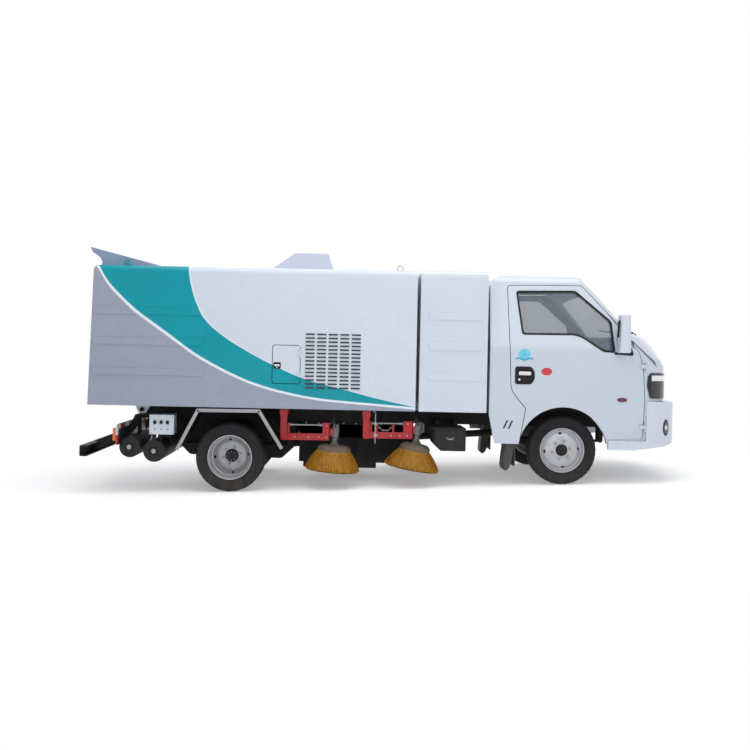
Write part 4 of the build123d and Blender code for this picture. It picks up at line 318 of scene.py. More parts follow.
def beyond(tree, value, start, slope, onto):  # adds to onto whatever value has past its start
    return sums(tree, "MULTIPLY_ADD", sums(tree, "MAXIMUM", sums(tree, "SUBTRACT", value, start), 0.0), slope, onto)


def cabLining(tree, base, surface):  # grey trim wherever the surface lies inside the cab
    part = levelPlace(tree)[1]
    wide = sums(tree, "ABSOLUTE", part[1])
    side = beyond(tree, part[2], 0.98, 0.14, wide)
    roof = beyond(tree, part[0], 2.85, 0.256, part[2])
    nose = beyond(tree, part[2], 1.08, 0.99, part[0])
    corner = sums(tree, "MULTIPLY_ADD", times(tree, wide, wide), 0.271, nose)
    inside = sums(tree, "LESS_THAN", side, 0.795)
    for value, kind, edge in ((roof, "LESS_THAN", 1.618), (corner, "LESS_THAN", 3.668),
                              (part[0], "GREATER_THAN", 2.275)):
        inside = times(tree, inside, sums(tree, kind, value, edge))
    return blendColour(tree, inside, base, tint(112, 116, 122))


def tapeColour(tree, base, surface):  # red and white blocks along the bar
    part = levelPlace(tree)[1]
    red = sums(tree, "GREATER_THAN", sums(tree, "PINGPONG", part[1], 0.15), 0.075)
    strip = sums(tree, "COMPARE", part[2], 0.245, 0.02)
    return blendColour(tree, strip, base, blendColour(tree, red, tint(178, 14, 26), tint(226, 228, 230)))


def lampColour(tree, base, surface):  # amber, red and clear fields of the tail lamps
    wide = sums(tree, "ABSOLUTE", levelPlace(tree)[1][1])
    base = blendColour(tree, sums(tree, "GREATER_THAN", wide, 0.68), base, tint(214, 112, 18))
    return blendColour(tree, sums(tree, "LESS_THAN", wide, 0.53), base, tint(222, 222, 218))


def lampUnit(tree, base, surface):  # black housing, bright brow and smoked cover, by height and length
    part = levelPlace(tree)[1]
    brow = times(tree, sums(tree, "GREATER_THAN", part[2], 0.742), sums(tree, "LESS_THAN", part[2], 0.79))
    brow = times(tree, brow, sums(tree, "GREATER_THAN", part[0], 3.652))
    base = blendColour(tree, brow, base, tint(226, 230, 234))
    return blendColour(tree, sums(tree, "LESS_THAN", part[0], 3.647), base, tint(16, 20, 34))


# colour, shade, smoothest and roughest, scale, bump, and what else differs
finishes = {
    "whitePaint": ((203, 210, 223), (200, 207, 221), (0.16, 0.26), 3.0, 0.01, {"coat": 0.25, "dusty": 0.18,
                  "dustReach": 0.75}),
    "cabPaint": ((193, 202, 215), (191, 200, 213), (0.14, 0.24), 3.0, 0.01, {"coat": 0.3, "dusty": 0.18,
                  "dustReach": 0.75, "build": cabLining}),
    "bodyPaint": ((206, 213, 226), (204, 211, 224), (0.2, 0.32), 3.0, 0.01, {"shine": 0.25, "dusty": 0.14,
                  "dustReach": 1.0, "build": bandPaint}),
    # the body's white and band, with painted shade on the louvre hoods
    "louvreShadePaint": ((206, 213, 226), (204, 211, 224), (0.2, 0.32), 3.0, 0.01, {"shine": 0.25, "dusty": 0.14,
                  "dustReach": 1.0, "build": louvreShadePaint}),
    "greyPaint": ((158, 166, 181), (153, 161, 176), (0.25, 0.4), 4.0, 0.02, {"coat": 0.3}),
    # the spoiler in one even blue-grey, darker and bluer than the body's white
    "spoilerBlueGrey": ((132, 150, 176), (118, 138, 166), (0.3, 0.45), 5.0, 0.02, {"coat": 0.3}),
    "frameBlack": ((18, 18, 22), (10, 10, 14), (0.5, 0.7), 22.0, 0.06, {"dusty": 0.2, "shine": 0.2, "chipped": 0.1,
                  "chipColour": (74, 64, 56)}),
    "tankBlack": ((22, 22, 26), (14, 14, 18), (0.45, 0.6), 14.0, 0.04, {"dusty": 0.18, "shine": 0.2,
                  "chipped": 0.06}),
    "boxBlack": ((24, 25, 30), (17, 18, 22), (0.5, 0.65), 60.0, 0.06, {"dusty": 0.2, "shine": 0.25}),
    "castGrey": ((96, 98, 100), (70, 72, 74), (0.5, 0.75), 40.0, 0.15, {"metal": 0.5, "dusty": 0.5}),
    "blackPlastic": ((30, 31, 34), (22, 23, 26), (0.42, 0.6), 90.0, 0.05, {"dusty": 0.15}),
    "flapRubber": ((46, 47, 50), (34, 35, 38), (0.6, 0.8), 30.0, 0.1, {"dusty": 0.6}),
    "nozzleBlack": ((18, 18, 22), (11, 11, 15), (0.5, 0.7), 18.0, 0.06, {"dusty": 0.15, "shine": 0.2,
                  "chipped": 0.15}),
    "barPaint": ((40, 42, 46), (30, 32, 36), (0.35, 0.5), 20.0, 0.03, {"dusty": 0.35, "build": tapeColour}),
    "lampRed": ((168, 16, 22), (140, 10, 16), (0.08, 0.16), 8.0, 0.02, {"coat": 0.8, "dusty": 0.2,
                  "build": lampColour}),
    "liningGrey": ((92, 96, 102), (78, 82, 88), (0.55, 0.72), 120.0, 0.1, {"dusty": 0.0}),
    "dashGrey": ((62, 64, 69), (50, 52, 57), (0.5, 0.68), 160.0, 0.1, {"dusty": 0.0}),
    "brushRed": ((186, 18, 28), (160, 10, 20), (0.3, 0.45), 12.0, 0.04, {"coat": 0.1, "dusty": 0.12,
                  "dustReach": 0.5, "chipped": 0.12, "chipColour": (58, 40, 36)}),
    "zincPlate": ((176, 178, 180), (140, 142, 146), (0.25, 0.45), 35.0, 0.04, {"metal": 0.85, "dusty": 0.2}),
    "chromePlate": ((225, 227, 230), (205, 208, 212), (0.06, 0.14), 20.0, 0.0, {"metal": 1.0, "dusty": 0.08}),
    # black for the hubs and caps, and painted shade in the rims' vents
    "hubBlackAndVentShade": ((20, 20, 23), (13, 13, 16), (0.4, 0.55), 40.0, 0.08, {"dusty": 0.12, "dustReach": 0.3,
                  "shine": 0.25}),
    "tyreRubber": ((27, 27, 31), (19, 19, 23), (0.62, 0.82), 26.0, 0.1, {"dustReach": 0.25, "shine": 0.25}),
    "bristleGold": ((222, 164, 58), (142, 90, 26), (0.45, 0.65), 70.0, 0.0, {"dusty": 0.0, "shine": 0.3}),
    # painted shade for the inside of the brushes, between the tufts
    "bristleShade": ((112, 68, 22), (76, 44, 14), (0.7, 0.85), 55.0, 0.3, {"dusty": 0.0, "shine": 0.1}),
    "blockGrey": ((118, 104, 88), (86, 74, 62), (0.55, 0.75), 30.0, 0.1, {"dusty": 0.4}),
    "rubberBlack": ((20, 21, 25), (14, 15, 18), (0.35, 0.5), 30.0, 0.03, {"dusty": 0.06, "shine": 0.25}),
    "hoodPaint": ((193, 202, 215), (191, 200, 213), (0.14, 0.24), 3.0, 0.01, {"coat": 0.3, "dusty": 0.1}),
    "markerRed": ((132, 26, 38), (116, 20, 32), (0.15, 0.25), 20.0, 0.0, {"coat": 0.4, "dusty": 0.1}),
    "ovalRed": ((206, 44, 52), (196, 36, 46), (0.25, 0.35), 9.0, 0.0, {"coat": 0.4, "dusty": 0.1}),
    "badgeBlue": ((110, 200, 226), (92, 186, 216), (0.25, 0.35), 20.0, 0.0, {"coat": 0.4, "dusty": 0.1}),
    "badgeDeep": ((66, 160, 190), (56, 148, 180), (0.25, 0.35), 20.0, 0.0, {"coat": 0.4, "dusty": 0.1}),
    "mirrorFace": ((214, 220, 226), (208, 214, 220), (0.02, 0.05), 4.0, 0.0, {"metal": 1.0, "dusty": 0.05}),
    "plateBlank": ((186, 192, 196), (176, 182, 188), (0.3, 0.45), 20.0, 0.02, {"dusty": 0.3}),
    "smokedLens": ((58, 60, 66), (44, 46, 52), (0.06, 0.12), 8.0, 0.0, {"coat": 1.0, "dusty": 0.15}),
    "lampBright": ((206, 210, 216), (196, 200, 206), (0.12, 0.2), 8.0, 0.0, {"coat": 1.0, "dusty": 0.1}),
    "tapeWhite": ((208, 212, 218), (198, 202, 208), (0.25, 0.4), 20.0, 0.0, {"dusty": 0.3}),
    "tapeRed": ((190, 30, 40), (176, 24, 34), (0.25, 0.4), 20.0, 0.0, {"dusty": 0.2}),
    "stripSilver": ((164, 165, 170), (148, 149, 154), (0.35, 0.5), 20.0, 0.02, {"dusty": 0.3}),
    # near black rubber for the skirts, which also stand in as painted shade under the body
    "shadeSkirtRubber": ((20, 20, 24), (13, 13, 17), (0.55, 0.75), 22.0, 0.08, {"dusty": 0.12, "shine": 0.2}),
    "rimSilver": ((188, 190, 196), (164, 167, 174), (0.28, 0.42), 25.0, 0.03, {"metal": 0.45, "coat": 0.2,
                  "dusty": 0.45, "dustReach": 0.5}),
    "motorGrey": ((122, 124, 128), (92, 94, 98), (0.35, 0.55), 30.0, 0.08, {"metal": 0.6, "dusty": 0.3}),
    "lampUnit": ((54, 54, 58), (38, 38, 42), (0.06, 0.14), 16.0, 0.0, {"coat": 0.3, "dusty": 0.05, "shine": 0.35,
                  "build": lampUnit}),
}
for name, (*values, others) in finishes.items():
    finishMaterial(name, *values, **others)


def glassMaterial(name, colour, alpha, rough):
    made, tree, shader = blankMaterial(name)
    surface = useGroup(tree, grain, {"Scale": 2.0, "Smooth": rough[0], "Rough": rough[1]})
    film = useGroup(tree, dust, {"Reach": 2.0, "Amount": 0.12})
    base = blendColour(tree, surface["Value"], tint(*colour), tint(*[c * 0.9 for c in colour]))
    tree.links.new(base, shader["Base Color"])
    tree.links.new(surface["Roughness"], shader["Roughness"])
    tree.links.new(ramp(tree, film["Mask"], 0.0, 0.4, alpha, min(1, alpha + 0.15)), shader["Alpha"])
    shader["Coat Weight"].default_value = 1.0
    shader["Coat Roughness"].default_value = 0.02


glassMaterial("tintedGlass", (92, 112, 134), 0.34, (0.02, 0.05))
glassMaterial("lampLens", (150, 156, 162), 0.3, (0.03, 0.08))

cloth, tree, shader = blankMaterial("seatCloth")
woven = useGroup(tree, weave, {"Scale": 420.0})
tree.links.new(blendColour(tree, woven["Value"], tint(46, 49, 55), tint(74, 78, 86)), shader["Base Color"])
shader["Roughness"].default_value = 0.85
shader["Sheen Weight"].default_value = 0.3
lift = put(tree, "Bump", {"Strength": 0.4, "Distance": 0.001, "Height": woven["Height"]})
tree.links.new(lift.outputs[0], shader["Normal"])

cadFinish = {  # a star stands for left and right
    "whitePaint": ["front_cabinet", "roof_vent", "front_bumper", "door_mirror_*", "control_box"],
    "cabPaint": ["cab_shell", "cab_door_*"],
    "bodyPaint": ["sweeper_body", "hatch_*"],
    "louvreShadePaint": ["louvre_panels"],
    "greyPaint": ["tail_door", "suction_fan"],
    "spoilerBlueGrey": ["tail_spoiler"],
    "frameBlack": ["frame_rails", "leaf_springs", "front_axle", "rear_axle", "knuckle_*", "rear_bumper",
                   "rear_mudguards", "tipping_cylinder_barrel"],
    "tankBlack": ["air_tanks"],
    "boxBlack": ["tool_box", "fuel_tank"],
    "castGrey": ["engine"],
    "blackPlastic": ["grille"],
    "lampUnit": ["headlamps"],
    "flapRubber": ["front_mud_flaps"],
    "nozzleBlack": ["suction_nozzle"],
    "barPaint": ["rear_light_bar"],
    "lampRed": ["tail_lamps"],
    "dashGrey": ["dashboard", "steering_wheel"],
    "brushRed": ["brush_mounts", "front_brush_arm_*", "rear_brush_arm_*"],
    "chromePlate": ["tipping_cylinder_rod"],
    "rimSilver": ["front_rim_*", "rear_rims_*"],
    "tintedGlass": ["door_glass_*", "windscreen"],
}
for finishName, names in cadFinish.items():
    for nodeName in [name.replace("*", side) for name in names for side in ("left", "right")]:
        for slot in nodes[nodeName].material_slots:
            slot.material = bpy.data.materials[finishName]
print("materials on the carried-over nodes")


# ---- shaping helpers, all in level truck metres ----
def addInto(shape, part, paintIndex=0, place=None):
    if place is not None:
        part.transform(place)
    if paintIndex is not None:
        for face in part.faces:
            face.material_index = paintIndex
    bmesh.ops.recalc_face_normals(part, faces=part.faces)
    spare = bpy.data.meshes.new("spare")
    part.to_mesh(spare)
    part.free()
    shape.from_mesh(spare)
    bpy.data.meshes.remove(spare)


def bevelled(part, edges, width, segments=2):
    bmesh.ops.bevel(part, geom=list(edges), offset=width, segments=segments, affect="EDGES", profile=0.5,
                    material=-1, clamp_overlap=True)


def box(shape, low, high, bevel=0.004, paintIndex=0, place=None):
    part = bmesh.new()
    bmesh.ops.create_cube(part, size=1.0)
    bmesh.ops.scale(part, vec=[b - a for a, b in zip(low, high)], verts=part.verts)
    bmesh.ops.translate(part, vec=[(a + b) / 2 for a, b in zip(low, high)], verts=part.verts)
    bevelled(part, part.edges, bevel)
    addInto(shape, part, paintIndex, place)


def facing(run, forward="Z", up="Y"):
    return run.to_track_quat(forward, up).to_matrix().to_4x4()


def aim(origin, direction, turn=0.0):
    return Matrix.Translation(origin) @ facing(Vector(direction)) @ Matrix.Rotation(turn, 4, "Z")


def cylinder(radius, length, sides, tip=None):  # stands on the origin, along z
    part = bmesh.new()
    bmesh.ops.create_cone(part, cap_ends=True, segments=sides, radius1=radius, radius2=tip or radius, depth=length)
    bmesh.ops.translate(part, vec=(0, 0, length / 2), verts=part.verts)
    return part


def rod(shape, start, end, radius, paintIndex=0, sides=20, bevel=0.0015):
    run = Vector(end) - Vector(start)
    part = cylinder(radius, run.length, sides)
    bevelled(part, [e for e in part.edges if abs(e.verts[0].co.z - e.verts[1].co.z) < 1e-6], bevel, 1)
    addInto(shape, part, paintIndex, aim(start, run))


def hexBolt(shape, origin, direction, size=0.009, height=0.007, paintIndex=0, turn=0.0):
    part = cylinder(size, height, 6)
    bevelled(part, [e for e in part.edges if all(v.co.z > height * 0.9 for v in e.verts)], size * 0.18, 1)
    addInto(shape, part, paintIndex, aim(origin, direction, turn))


def around(radius, turns, height=0.0):
    angle = math.tau * turns
    return Vector((radius * math.cos(angle), radius * math.sin(angle), height))


def turned(shape, profile, place, steps=48, paintIndex=0, closed=False, cut=None):
    part = bmesh.new()
    verts = [part.verts.new((r, 0, h)) for r, h in profile]
    edges = [part.edges.new(pair) for pair in zip(verts, verts[1:])]
    if closed:
        edges.append(part.edges.new((verts[-1], verts[0])))
    bmesh.ops.spin(part, geom=verts + edges, cent=(0, 0, 0), axis=(0, 0, 1), angle=math.tau, steps=steps,
                   use_merge=True)
    bmesh.ops.remove_doubles(part, verts=part.verts, dist=1e-5)
    bmesh.ops.recalc_face_normals(part, faces=part.faces)
    for face in part.faces:
        face.material_index = paintIndex
    if cut:
        cut(part)
    addInto(shape, part, None, place)


def flatSheet(outline, radius=0.0, ring=0.0):  # an outline with rounded corners, or only its rim
    part = bmesh.new()
    verts = [part.verts.new((x, y, 0)) for x, y in outline]
    part.faces.new(verts)
    if radius:
        bmesh.ops.bevel(part, geom=verts, offset=radius, segments=5, affect="VERTICES", profile=0.5, material=-1,
                        clamp_overlap=True)
    part.faces.ensure_lookup_table()
    face = part.faces[0]
    if ring:
        bmesh.ops.inset_region(part, faces=[face], thickness=ring, use_boundary=True, use_even_offset=True)
        bmesh.ops.delete(part, geom=[face], context="FACES")
    return part


def cutAcross(part, axis, places, merge=1e-6):
    way = Vector([float(number == axis) for number in range(3)])
    for place in places:
        bmesh.ops.bisect_plane(part, geom=part.verts[:] + part.edges[:] + part.faces[:], plane_co=way * place,
                               plane_no=way, dist=merge)


def thickened(part, depth):
    made = bmesh.ops.extrude_face_region(part, geom=part.faces[:], use_keep_orig=True)["geom"]
    bmesh.ops.translate(part, vec=(0, 0, depth), verts=[v for v in made if isinstance(v, bmesh.types.BMVert)])


def softRims(part, depth, width, segments):
    rims = [e for e in part.edges if all(v.co.z > depth * 0.99 for v in e.verts) and e.calc_face_angle(0) > 1.0]
    if rims:
        bevelled(part, rims, width, segments)


def plate(shape, outline, depth, place, radius=0.0, bevel=0.0, paintIndex=0):
    part = flatSheet(outline, radius)
    thickened(part, depth)
    if bevel:
        softRims(part, depth, bevel, 2)
    addInto(shape, part, paintIndex, place)


def laid(shape, outline, depth, onto, slices, radius=0.0, ring=0.0, bevel=0.0, paintIndex=0):  # bent onto a surface
    part = flatSheet(outline, radius, ring)
    for axis, count in enumerate(slices):
        low, high = (pick(v.co[axis] for v in part.verts) for pick in (min, max))
        cutAcross(part, axis, [low + (high - low) * number / count for number in range(1, count)])
    thickened(part, depth)
    if bevel:
        bmesh.ops.recalc_face_normals(part, faces=part.faces)
        softRims(part, depth, bevel, 1)
    for vert in part.verts:
        vert.co = onto(*vert.co)
    addInto(shape, part, paintIndex)


def bentTube(shape, points, radius, paintIndex=0):
    line = bpy.data.curves.new("tubeLine", "CURVE")
    line.dimensions = "3D"
    line.bevel_depth, line.bevel_resolution, line.use_fill_caps = radius, 3, True
    spline = line.splines.new("NURBS")
    spline.points.add(len(points) - 1)
    for spot, point in zip(spline.points, points):
        spot.co = (*point, 1)
    spline.order_u, spline.use_endpoint_u, spline.resolution_u = 3, True, 6
    holder = bpy.data.objects.new("tubeLine", line)
    bpy.context.scene.collection.objects.link(holder)
    made = bpy.data.meshes.new_from_object(holder.evaluated_get(bpy.context.evaluated_depsgraph_get()))
    part = bmesh.new()
    part.from_mesh(made)
    bmesh.ops.remove_doubles(part, verts=part.verts, dist=1e-6)
    addInto(shape, part, paintIndex)
    bpy.data.objects.remove(holder)
    bpy.data.curves.remove(line)
    bpy.data.meshes.remove(made)


def savePiece(shape, name, paints, body, replaces=(), sharp=35):
    bmesh.ops.remove_doubles(shape, verts=shape.verts, dist=2e-5)
    for face in shape.faces:
        face.smooth = True
    for edge in shape.edges:
        edge.smooth = edge.calc_face_angle(0) < math.radians(sharp)
    shape.transform(toRow)
    mesh = bpy.data.meshes.new(name)
    shape.to_mesh(mesh)
    shape.free()
    for paintName in paints:
        mesh.materials.append(bpy.data.materials[paintName])
    piece = bpy.data.objects.new(name, mesh)
    bpy.context.scene.collection.objects.link(piece)
    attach(piece, body)
    if replaces:
        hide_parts(*replaces)
    return piece


def saveBoth(shape, name, paints, body, replaces=None):  # the right piece and its mirror image
    other = shape.copy()
    bmesh.ops.scale(other, vec=(1, -1, 1), verts=other.verts)
    bmesh.ops.reverse_faces(other, faces=other.faces)
    for part, side in ((shape, "right"), (other, "left")):
        savePiece(part, name + side.title(), paints, body if body == "chassis" else f"{body}_{side}",
                  [f"{replaces}_{side}"] if replaces else ())


# ---- tyres ----
tyre = {
    "steps": 120, "slotEvery": 3, "slotDepth": 0.006,
    "half": [(0.2998, 0.0), (0.2998, 0.0125), (0.291, 0.0145), (0.291, 0.0205), (0.2995, 0.0225), (0.2988, 0.0435),
             (0.2905, 0.0455), (0.2905, 0.0515), (0.2975, 0.0535), (0.2955, 0.0655), (0.29, 0.0755), (0.283, 0.081),
             (0.2785, 0.0838), (0.2765, 0.0832), (0.268, 0.0862), (0.258, 0.0872), (0.2555, 0.0862), (0.2535, 0.0872),
             (0.24, 0.0858), (0.228, 0.0815), (0.222, 0.0812), (0.2185, 0.0775), (0.2105, 0.0735), (0.205, 0.0705),
             (0.197, 0.0675), (0.1805, 0.0665)],
}


def treadCut(part):
    picked = []
    for face in part.faces:
        middle = face.calc_center_median()
        turn = int(round(math.atan2(middle.y, middle.x) / math.tau * tyre["steps"] - 0.5)) % tyre["slotEvery"]
        across, radius = abs(middle.z), math.hypot(middle.x, middle.y)
        shoulder = radius > 0.285 and 0.056 < across < 0.079 and turn == 0
        centre = radius > 0.297 and 0.024 < across < 0.042 and turn == (1 if middle.z > 0 else 2)
        if shoulder or centre:
            picked.append(face)
    made = bmesh.ops.extrude_face_region(part, geom=picked)["geom"]
    bmesh.ops.delete(part, geom=picked, context="FACES")
    for vert in (v for v in made if isinstance(v, bmesh.types.BMVert)):
        shrink = 1 - tyre["slotDepth"] / math.hypot(vert.co.x, vert.co.y)
        vert.co.x, vert.co.y = vert.co.x * shrink, vert.co.y * shrink


wheels = {"front": (2.898, 0.69, 0.118), "outer": (0.0, 0.73, 0.0), "inner": (0.0, 0.53, 0.0)}
section = [(r, -h) for r, h in reversed(tyre["half"])] + tyre["half"][1:]
for name, places, body, node in (("frontTyre", ("front",), "front_wheel", "front_tyre"),
                                 ("rearTyres", ("outer", "inner"), "rear_wheels", "rear_tyres")):
    shape = bmesh.new()
    for x, y, z in (wheels[place] for place in places):
        turned(shape, section, aim((x, -y, z), (0, 1, 0)), tyre["steps"], closed=True, cut=treadCut)
    saveBoth(shape, name, ["tyreRubber"], body, node)
print("tyres made")

# ---- rims ----
rim = {
    "steps": 96, "nuts": 6, "nutCircle": 0.079, "ventRadius": (0.138, 0.156), "ventSteps": 3, "vents": 4, "studs": 8,
    "frontCap": [(0.0, 0.076), (0.02, 0.0755), (0.036, 0.073), (0.044, 0.068), (0.047, 0.06), (0.0485, 0.054),
                 (0.052, 0.0525), (0.0, 0.048)],
    "rearCap": [(0.0, -0.022), (0.022, -0.022), (0.026, -0.026), (0.029, -0.038), (0.044, -0.041), (0.05, -0.046),
                (0.0515, -0.084), (0.058, -0.0895), (0.0, -0.096)],
    "frontDish": (0.034, 0.052), "rearDish": (-0.044, -0.092),
    "paints": ["rimSilver", "hubBlackAndVentShade", "zincPlate"],
}


def ventCut(part):
    picked = []
    for face in part.faces:
        middle = face.calc_center_median()
        radius = math.hypot(middle.x, middle.y)
        turn = math.atan2(middle.y, middle.x) / math.tau * rim["steps"] - 0.5
        if rim["ventRadius"][0] < radius < rim["ventRadius"][1] and abs(face.normal.z) > 0.3:
            if round(turn) % (rim["steps"] // rim["vents"]) < rim["ventSteps"] and face.normal.z > 0:
                picked.append(face)
    bmesh.ops.inset_region(part, faces=picked, thickness=0.0025, use_even_offset=True)
    bmesh.ops.translate(part, vec=(0, 0, -0.0055), verts=list({v for face in picked for v in face.verts}))
    # painted shade: the vents are pressed in, not cut through, and painted near black for the dark that shows through
    # vent holes
    for face in picked:
        face.material_index = 1


def rimProfile(atRim, atHub):  # flanges, barrel and dished disc; the outside of the truck is +
    return [(0.0, atHub), (0.05, atHub), (0.07, atHub + 0.0015), (0.1, atHub + 0.0015), (0.118, atHub),
            (0.128, atHub - 0.003), (0.138, atHub * 0.72 + atRim * 0.28), (0.147, atHub * 0.5 + atRim * 0.5),
            (0.156, atHub * 0.3 + atRim * 0.7), (0.164, atRim), (0.1715, atRim + 0.002), (0.1725, 0.04),
            (0.176, 0.052), (0.18, 0.056), (0.1815, 0.066), (0.188, 0.0735), (0.1935, 0.074), (0.195, 0.0715),
            (0.1945, 0.0685), (0.187, 0.0675), (0.1795, 0.064), (0.1795, -0.064), (0.187, -0.0675), (0.1945, -0.0685),
            (0.195, -0.0715), (0.1935, -0.074), (0.188, -0.0735), (0.1735, -0.066), (0.1735, atRim - 0.014),
            (0.156, atRim * 0.7 + atHub * 0.3 - 0.012), (0.128, atHub - 0.012), (0.0, atHub - 0.008)]


def addRim(shape, x, y, z, dish, cap):
    place = aim((x, -y, z), (0, -1, 0))
    turned(shape, rimProfile(*dish), place, rim["steps"], cut=ventCut)
    for number in range(rim["nuts"]):
        turn = (number + 0.25) / rim["nuts"]
        spot = place @ around(rim["nutCircle"], turn, dish[1])
        hexBolt(shape, spot, (0, -1, 0), 0.0125, 0.015, 2, math.tau * turn)
        rod(shape, spot, spot + Vector((0, -0.021, 0)), 0.006, 2, 12, 0.001)
    turned(shape, cap, place, 48, 1)


shape = bmesh.new()
x, y, z = wheels["front"]
addRim(shape, x, y, z, rim["frontDish"], rim["frontCap"])
rod(shape, (x, -(y - 0.066), z), (x, -(y + 0.046), z), 0.045, 1)
saveBoth(shape, "frontRim", rim["paints"], "front_wheel", "front_rim")
shape = bmesh.new()
x, y, z = wheels["outer"]
addRim(shape, x, y, z, rim["rearDish"], rim["rearCap"])
for number in range(rim["studs"]):  # round the hub's cover
    angle = math.tau * number / rim["studs"]
    spot = (x + 0.037 * math.cos(angle), -(y - 0.0405), z + 0.037 * math.sin(angle))
    hexBolt(shape, spot, (0, -1, 0), 0.005, 0.005, 2)
turned(shape, rimProfile(*rim["rearDish"]), aim((x, -wheels["inner"][1], z), (0, 1, 0)), rim["steps"], cut=ventCut)
rod(shape, (x, -0.446, z), (x, -(y - 0.1), z), 0.075, 1)
saveBoth(shape, "rearRims", rim["paints"], "rear_wheels", "rear_rims")
print("rims made")

# ---- side brushes: a plate, a block and tufts of bristles ----
brush = {"tufts": 234, "perTuft": 7, "kinds": 5, "thickness": 0.002, "spread": 0.0088, "bulge": 0.009, "seed": 4,
         "bolts": 6}
brushes = {
    "rear": {"motor": (0.917, 0.285), "tilt": 4.0, "disc": 0.15, "skirt": 0.252, "top": 0.162, "foot": 0.243,
             "end": 0.409, "pivot": (0.455, 0.181), "beam": 0.03, "beamEnd": 0.828, "rod": 0.285, "link": 0.866},
    "front": {"motor": (1.655, 0.32), "tilt": 9.0, "disc": 0.135, "skirt": 0.255, "top": 0.172, "foot": 0.262,
              "end": 0.415, "pivot": (1.185, 0.208), "beam": 0.029, "beamEnd": 1.542, "rod": 0.312, "link": 1.602},
}
brushY = 0.64


def spindle(sizes):  # local z runs down the spindle, local x ahead
    cosine, sine = (work(math.radians(sizes["tilt"])) for work in (math.cos, math.sin))
    turn = Matrix(((cosine, 0, -sine), (0, -1, 0), (-sine, 0, -cosine))).to_4x4()
    return Matrix.Translation((sizes["motor"][0], -brushY, sizes["motor"][1])) @ turn


def makeTuft(dice):  # bent bristles of unit length, growing from the origin along z and leaning to x
    tuft = bmesh.new()
    for count in range(brush["perTuft"]):
        part = cylinder(brush["thickness"], 1.0, 3, brush["thickness"] * 0.7)
        bmesh.ops.subdivide_edges(part, edges=[e for e in part.edges if abs(e.verts[0].co.z - e.verts[1].co.z) > 0.5],
                                  cuts=3)
        side, ahead, bend = (dice.uniform(-1, 1) for _ in range(3))
        for vert in part.verts:
            rise = vert.co.z
            vert.co.y += brush["spread"] * (side * 0.35 + side * rise * 1.3)
            vert.co.y -= brush["bulge"] * 4 * rise * (1 - rise)
            vert.co.x += brush["spread"] * (ahead * 0.3 + ahead * rise) + 0.01 * bend * rise * rise
        bmesh.ops.scale(part, vec=(1, 1, dice.uniform(0.95, 1.0)), verts=part.verts)
        addInto(tuft, part, 0)
    return tuft


def addBrush(shape, sizes, dice):
    place = spindle(sizes)
    disc, top, foot, end, skirt = (sizes[k] for k in ("disc", "top", "foot", "end", "skirt"))
    turned(shape, [(0.0, top - 0.009), (0.034, top - 0.009), (0.038, top - 0.005), (0.042, top + 0.012),
                   (disc - 0.03, top + 0.014), (disc - 0.018, top + 0.02), (disc - 0.008, top + 0.034),
                   (disc, top + 0.04), (disc, foot - 0.018), (disc - 0.006, foot - 0.01), (0.0, foot - 0.006)],
           place, 64, 1)
    for number in range(brush["bolts"]):
        turn = number / brush["bolts"]
        spot = place @ around(0.07, turn, top + 0.0135)
        hexBolt(shape, spot, -(place.to_3x3() @ Vector((0, 0, 1))), 0.009, 0.007, 2, math.tau * turn)
    # painted shade: a dark bristle-coloured cone inside the tufts, for the shade seen in the gaps between them
    turned(shape, [(disc - 0.012, foot - 0.016), (disc - 0.006, foot), (skirt - 0.022, end - 0.012),
                   (skirt - 0.06, end - 0.012), (disc - 0.05, foot), (disc - 0.05, foot - 0.012)],
           place, 64, 3, closed=True)
    tufts = [makeTuft(dice) for _ in range(brush["kinds"])]
    for number in range(brush["tufts"]):
        ring = number % 3
        angle = math.tau * (number + dice.uniform(-0.3, 0.3)) / brush["tufts"]
        start = Vector((disc - 0.004 - 0.008 * ring, 0, foot - 0.02))
        finish = Vector((skirt - 0.014 - 0.015 * ring - dice.uniform(0, 0.005), 0, end - 0.009))
        run = finish - start
        stretch = Matrix.Diagonal((1, 1, run.length * dice.uniform(0.965, 1.0), 1))
        grow = Matrix.Translation(start) @ facing(run) @ stretch
        addInto(shape, dice.choice(tufts).copy(), None, place @ Matrix.Rotation(angle, 4, "Z") @ grow)
    for tuft in tufts:
        tuft.free()


for end, sizes in brushes.items():
    shape = bmesh.new()
    addBrush(shape, sizes, random.Random(brush["seed"]))
    saveBoth(shape, end + "Brush", ["bristleGold", "blockGrey", "zincPlate", "bristleShade"], end + "_brush",
             end + "_brush")
print("brushes made")


